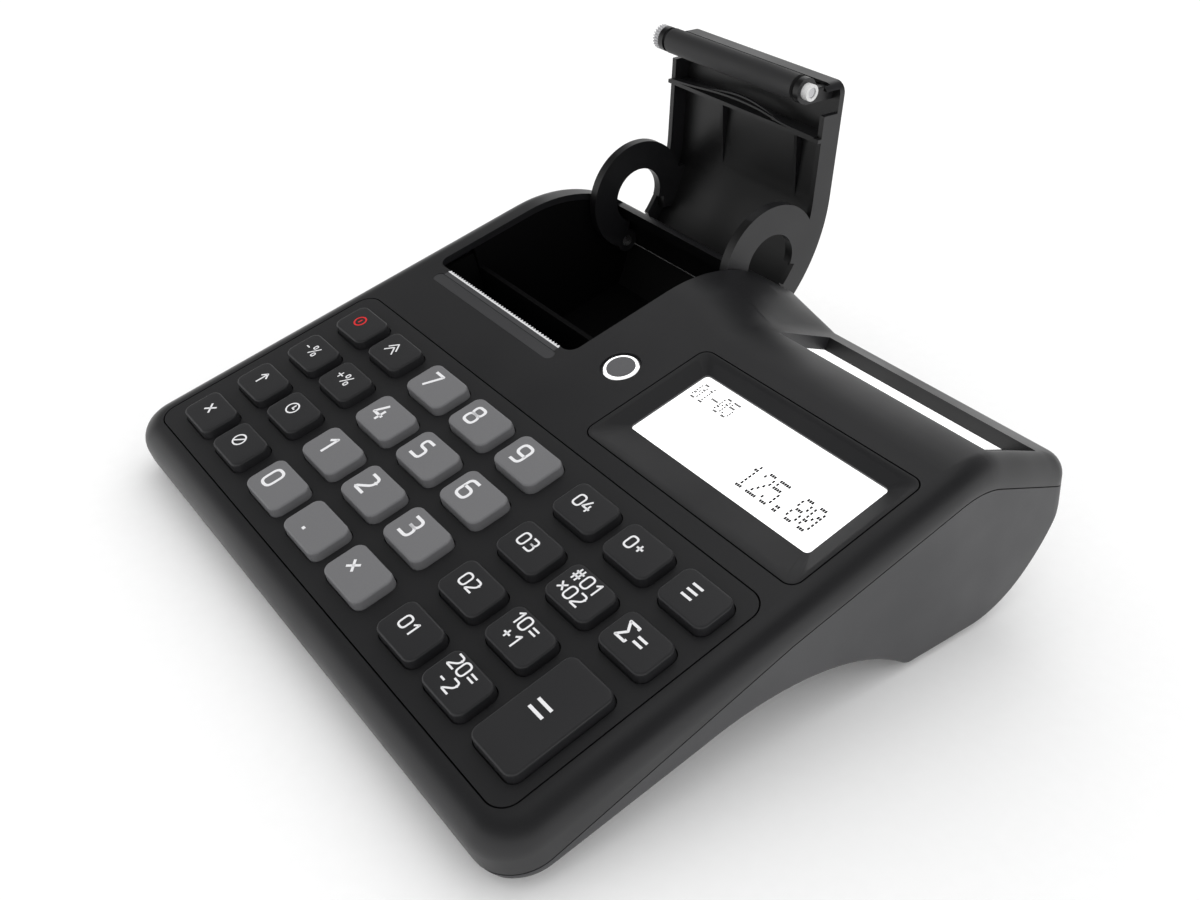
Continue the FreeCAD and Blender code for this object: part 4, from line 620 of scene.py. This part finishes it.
class REGISTER_OT_materials(bpy.types.Operator):
    """Make every finish of the register"""
    bl_idname = "register.materials"
    bl_label = "Materials"

    def execute(self, context):
        tone = colours()
        MATERIALS.update({
            # Black ABS with a fine spark-eroded grain, dull enough to hide fingerprints
            "case": moulded("Grained ABS black", tone.case, 0.4, 0.45, 0.012),
            # A lighter copy of the case plastic: painted light on the lower case's side walls
            "base": moulded("Grained ABS black lightened as painted light", tone.base, 0.5, 0.45, 0.012),
            "panel": moulded("Fine grained ABS panel", tone.case, 0.48, 0.4, 0.008),
            # The groove's floor is coloured paler than the case: painted light where the scoop's floor is lit
            "ramp": moulded("ABS groove lightened as painted light", "#363638", 0.38, 0.45, 0.004),
            # Key tops come from a finer tool and are worn a little smoother
            "number_key": moulded("Satin ABS grey", tone.number_key, 0.45, 0.35, 0.004),
            "function_key": moulded("Satin ABS black", tone.function_key, 0.45, 0.35, 0.005),
            "button": moulded("Soft touch grey button", "#5c5c5e", 0.6, 0.35, 0.004, 0.05, 0.3),
            "white_part": moulded("Acetal natural white", "#dedede", 0.35, 0.6, 0.003),
            # The bay is moulded in carbon-filled black, which keeps stray light off the paper
            "bin": moulded("Carbon filled black ABS", BIN_BLACK_AND_SHADE, 0.8, 0.6, 0.012, 0.05, 0.12),
            "rubber": moulded("Ground platen rubber", "#262627", 0.6, 0.5, 0.01),
            "feet": moulded("Moulded rubber feet", "#202021", 0.75, 0.6, 0.01),
            "silicone": moulded("Silicone switch mat", "#8d8d88", 0.6, 0.8, 0.004),
            "board": moulded("Solder mask green", "#1d4a2c", 0.3, 0.8, 0.004),
            "pack": moulded("Battery sleeve", "#2f3136", 0.4, 0.8, 0.004),
            "print": ink("Pad printed ink white", tone.print_colour),
            "print_red": ink("Pad printed ink red", "#e0151c"),
            # The display and the ring glow as painted light, to stay white in shade
            "glass": lit("White display with painted glow", "#ffffff", 0.85),
            "ring": lit("White ring with painted glow", "#ffffff", 0.9),
            "dots": ink("Display dots", "#050506"),
            "gear": moulded("Acetal gear white", "#c2c2c4", 0.35, 0.6, 0.003),
            "edge": blade_steel("Black oxide steel with a ground edge"),
            "steel": metal("Ground spring steel", "#c8c8ca", 0.3, 0.3),
            "plate": metal("Zinc plated steel", "#a8a9ab", 0.35, 0.4),
            "brass": metal("Turned brass", "#c9a75c", 0.3, 0.2),
        })
        # Painted shade on the walls that face forward behind the bay
        for name in ("case", "base"):
            black_behind_bay(MATERIALS[name], BIN_BLACK_AND_SHADE)
        return {"FINISHED"}


class REGISTER_OT_case(bpy.types.Operator):
    """Smooth the case's shells and fixed fittings, and floor the finger groove"""
    bl_idname = "register.case"
    bl_label = "Case"

    def execute(self, context):
        for node, finish, slot in (
            ("top_shell", "case", "case_black"), ("bottom_shell", "base", "case_grey"),
            ("keypad_panel", "panel", "panel_black"), ("display_bezel", "panel", "panel_black"),
            ("paper_bin", "bin", "case_black"), ("rubber_feet", "feet", "feet_rubber"),
            ("battery_door", "base", "case_grey"), ("power_socket", "panel", "panel_black"),
            ("button_ring", "ring", "light_ring"), ("mechanism_frame", "bin", "panel_black"),
            ("feed_motor", "plate", "steel"), ("case_screws", "plate", "steel"),
            ("print_head", "bin", "white_plastic"), ("cover_pins", "steel", "steel"),
        ):
            smooth_copy(node, node + "_skin", MATERIALS[finish], "case")
        smooth_copy("release_button", "release_button_skin", MATERIALS["button"], "release_button")
        settle(mesh_object("finger_ramp", *finger_ramp(), MATERIALS["ramp"], PAD), "case")
        return {"FINISHED"}


class REGISTER_OT_keys(bpy.types.Operator):
    """Smooth every key and print its sign on it"""
    bl_idname = "register.keys"
    bl_label = "Keys"

    def execute(self, context):
        for key in NUMBER_KEYS + FUNCTION_KEYS:
            number = key in NUMBER_KEYS
            finish, slot = ("number_key", "key_grey") if number else ("function_key", "key_black")
            smooth_copy(key, key + "_cap", MATERIALS[finish], key, KEY_ANGLE)
            tall, heavy = SIGN_SHARES.get(key, (1.0, 1.0))
            height = (sizes().digit_height if number else sizes().sign_height) / MM * tall
            stroke = sizes().stroke * height * heavy
            rows = [(LEGENDS[key], 0.0)]
            if key in LOWER_ROWS:
                rows = list(zip((LEGENDS[key], LOWER_ROWS[key]), ROW_LIFTS))
            strokes = join([legend(row, height, stroke, lift) for row, lift in rows])
            low, high = pad_bounds(key)
            top = Vector(((low.x + high.x) / 2, (low.y + high.y) / 2, high.z))
            place = PAD @ Matrix.Translation(top + Vector(NUMBER_SHIFT if number else SIGN_SHIFT) * MM)
            colour = MATERIALS["print_red" if key == "key_power" else "print"]
            settle(mesh_object(key + "_sign", *in_mm(strokes), colour, place), key)
        return {"FINISHED"}


class REGISTER_OT_displays(bpy.types.Operator):
    """Give both displays a painted glow and set their dots"""
    bl_idname = "register.displays"
    bl_label = "Displays"

    def execute(self, context):
        smooth_copy("display_module", "display_face", MATERIALS["glass"], "case")
        smooth_copy("customer_display", "customer_display_face", MATERIALS["glass"], "case")
        tree, sockets = dot_tree()
        pitch = sizes().dot_pitch / MM
        for name, text, share, left, top in DISPLAY_ROWS:
            across = pitch * share
            dots = lit_dots(text, (across, across * DOT_SPACING_DOWN), left, top)
            values = {"Dot width": across * DOT_WIDE * MM, "Dot height": across * DOT_TALL * MM}
            made = run_tree(name + "_dots", tree, sockets, [Vector(dot) * MM for dot in dots], values,
                            MATERIALS["dots"], PAD @ Matrix.Translation((0, 0, DISPLAY_DEPTH * MM)))
            settle(made, "case")
        return {"FINISHED"}


class REGISTER_OT_printer(bpy.types.Operator):
    """Smooth the cover, the platen, the gears and the tear blade, and fit the cover's trim"""
    bl_idname = "register.printer"
    bl_label = "Printer"

    def execute(self, context):
        for node, finish, body, slot in (
            ("paper_cover", "case", "cover", "case_black"),
            ("platen_bushes", "white_part", "cover", "white_plastic"),
            ("platen_shaft", "steel", "platen", "steel"),
            ("platen_roller", "rubber", "platen", "roller_rubber"),
            ("platen_gear", "gear", "platen", "white_plastic"),
            ("drive_gear", "gear", "drive", "white_plastic"),
            ("motor_pinion", "brass", "pinion", "brass"), ("cutter_blade", "edge", "case", "steel"),
        ):
            smooth_copy(node, node + "_skin", MATERIALS[finish], body)
        for name, shape, finish in (("paper_leaf", LEAF, "case"), ("leaf_bar", LEAF_BAR, "panel"),
                                    # The last strip is painted shade of the lip's groove
                                    ("lip_groove_shade", LIP_GROOVE_SHADE, "bin")):
            strip(shape, OPENED, MATERIALS[finish], name)
        return {"FINISHED"}


class REGISTER_OT_inside(bpy.types.Operator):
    """Finish the boards, the mat and the battery"""
    bl_idname = "register.inside"
    bl_label = "Inside"

    def execute(self, context):
        for node, finish, slot in (("key_mat", "silicone", "silicone"), ("key_board", "board", "board"),
                                   ("main_board", "board", "board"), ("battery_pack", "pack", "case_grey")):
            smooth_copy(node, node + "_skin", MATERIALS[finish], "case")
        return {"FINISHED"}


# Stage

CAMERA_AT = PAD_ORIGIN + Vector((219.3, -126.5, 180.2)) * MM
CAMERA_RIGHT = Vector((0.6116, 0.78865, 0.06295))
CAMERA_DOWN = Vector((0.46401, -0.29311, -0.83593))
CAMERA_LENS, CAMERA_SENSOR = 36.15, 36.0
# Soft lamps: name, place and aim in metres, width, height and power
LAMPS = (("key_light", (-0.2, 0.3, 1.6), (0, 0, 0), 1.4, 1.4, 3.0),
         ("back_light", (-0.9, 1.0, 0.9), (0, 0.02, 0.03), 1.0, 0.7, 2.0))
FLOOR_HALF = 4
# Light from all round, and the level of its mirror image overhead and at the horizon
WORLD_LEVEL, MIRROR_TOP, MIRROR_HORIZON = 0.97, 0.12, 1.0
# Share of plain white that the camera sees in the floor
FLOOR_WHITE = 0.04


class REGISTER_OT_stage(bpy.types.Operator):
    """Floor, soft lights, white surroundings and the camera"""
    bl_idname = "register.stage"
    bl_label = "Stage"

    def execute(self, context):
        scene = context.scene
        scene.view_settings.view_transform = "Standard"
        half = FLOOR_HALF
        corners = [(-half, -half, 0), (half, -half, 0), (half, half, 0), (-half, half, 0)]
        floor = mesh_object("floor", corners, [[0, 1, 2, 3]], self.floor_material())
        self.world(scene)
        for name, place, aim, wide, high, watts in LAMPS:
            lamp = bpy.data.lights.new(name, "AREA")
            lamp.shape = "RECTANGLE"
            lamp.size, lamp.size_y, lamp.energy = wide, high, watts
            holder = bpy.data.objects.new(name, lamp)
            holder.location = place
            holder.rotation_euler = (Vector(aim) - Vector(place)).to_track_quat("-Z", "Y").to_euler()
            scene.collection.objects.link(holder)
        camera = bpy.data.objects.new("camera", bpy.data.cameras.new("camera"))
        right, down = CAMERA_RIGHT.normalized(), CAMERA_DOWN.normalized()
        back = right.cross(-down)
        turn = Matrix((right, -down, back)).transposed()
        camera.matrix_world = Matrix.Translation(CAMERA_AT) @ turn.to_4x4()
        camera.data.sensor_width = CAMERA_SENSOR
        camera.data.lens = CAMERA_LENS
        camera.data.clip_start = 0.01
        scene.collection.objects.link(camera)
        scene.camera = camera
        return {"FINISHED"}

    def floor_material(self):
        """Seamless white paper: matt, white to the camera and in reflections, with the shadow kept."""
        material, tree, bsdf, place = new_material("White studio paper", Roughness=0.9)
        bsdf.inputs["Specular IOR Level"].default_value = 0.1
        fibres = add(tree, "ShaderNodeTexNoise", {"Vector": place, "Scale": 1 / (4 * MM), "Detail": 2.0})
        white = mix_colours(tree, fibres.outputs["Fac"], linear("#fbfbfb"), linear("#ffffff"))
        tree.links.new(white, bsdf.inputs["Base Color"])
        path = add(tree, "ShaderNodeLightPath")
        seen = add(tree, "ShaderNodeMath", {0: path.outputs["Is Camera Ray"],
                                            1: path.outputs["Is Glossy Ray"]}, operation="MAXIMUM")
        seen = add(tree, "ShaderNodeMath", {0: seen.outputs[0], 1: path.outputs["Is Transmission Ray"]},
                   operation="MAXIMUM")
        share = add(tree, "ShaderNodeMath", {0: seen.outputs[0], 1: FLOOR_WHITE}, operation="MULTIPLY")
        glow = add(tree, "ShaderNodeEmission", {"Color": (1, 1, 1, 1), "Strength": 1.0})
        both = add(tree, "ShaderNodeMixShader", {"Fac": share.outputs[0], 1: bsdf.outputs["BSDF"],
                                                 2: glow.outputs["Emission"]})
        tree.links.new(both.outputs[0], tree.nodes["Material Output"].inputs["Surface"])
        return material

    def world(self, scene):
        """Even light from all round, white to the camera; mirrored, white at the horizon, dim overhead."""
        world = bpy.data.worlds.new("Studio")
        scene.world = world
        world.use_nodes = True
        tree = world.node_tree
        way = add(tree, "ShaderNodeTexCoord").outputs["Generated"]
        height = add(tree, "ShaderNodeSeparateXYZ", {"Vector": way}).outputs["Z"]
        mirrored = add(tree, "ShaderNodeMapRange", {"Value": height, "From Min": 0.12, "From Max": 0.55,
                                                    "To Min": MIRROR_HORIZON, "To Max": MIRROR_TOP},
                       interpolation_type="SMOOTHSTEP")
        path = add(tree, "ShaderNodeLightPath")
        level = add(tree, "ShaderNodeMix", {"Factor": path.outputs["Is Glossy Ray"], "A": WORLD_LEVEL,
                                            "B": mirrored.outputs["Result"]})
        level = add(tree, "ShaderNodeMath", {0: level.outputs[0], 1: path.outputs["Is Camera Ray"]},
                    operation="MAXIMUM")
        tree.links.new(level.outputs[0], tree.nodes["Background"].inputs["Strength"])
        tree.nodes["Background"].inputs["Color"].default_value = (1, 1, 1, 1)


class REGISTER_PT_panel(bpy.types.Panel):
    """Build steps of the register"""
    bl_idname = "REGISTER_PT_panel"
    bl_label = "Ticket register"
    bl_space_type = "VIEW_3D"
    bl_region_type = "UI"
    bl_category = "Register"

    def draw(self, context):
        for group in (context.scene.register_sizes, context.scene.register_colours):
            for name in group.__annotations__:
                self.layout.prop(group, name)
        for step in STEPS:
            self.layout.operator(step.bl_idname)


STEPS = (REGISTER_OT_materials, REGISTER_OT_case, REGISTER_OT_keys, REGISTER_OT_displays, REGISTER_OT_printer,
         REGISTER_OT_inside, REGISTER_OT_stage)
CLASSES = (RegisterSizes, RegisterColours) + STEPS + (REGISTER_PT_panel,)


def register():
    for made in CLASSES:
        bpy.utils.register_class(made)
    bpy.types.Scene.register_sizes = bpy.props.PointerProperty(type=RegisterSizes)
    bpy.types.Scene.register_colours = bpy.props.PointerProperty(type=RegisterColours)


def unregister():
    del bpy.types.Scene.register_colours
    del bpy.types.Scene.register_sizes
    for made in reversed(CLASSES):
        bpy.utils.unregister_class(made)


def main():
    register()
    bpy.ops.register.materials()
    bpy.ops.register.case()
    bpy.ops.register.keys()
    bpy.ops.register.displays()
    bpy.ops.register.printer()
    bpy.ops.register.inside()
    bpy.ops.register.stage()


if __name__ == "__main__":
    main()
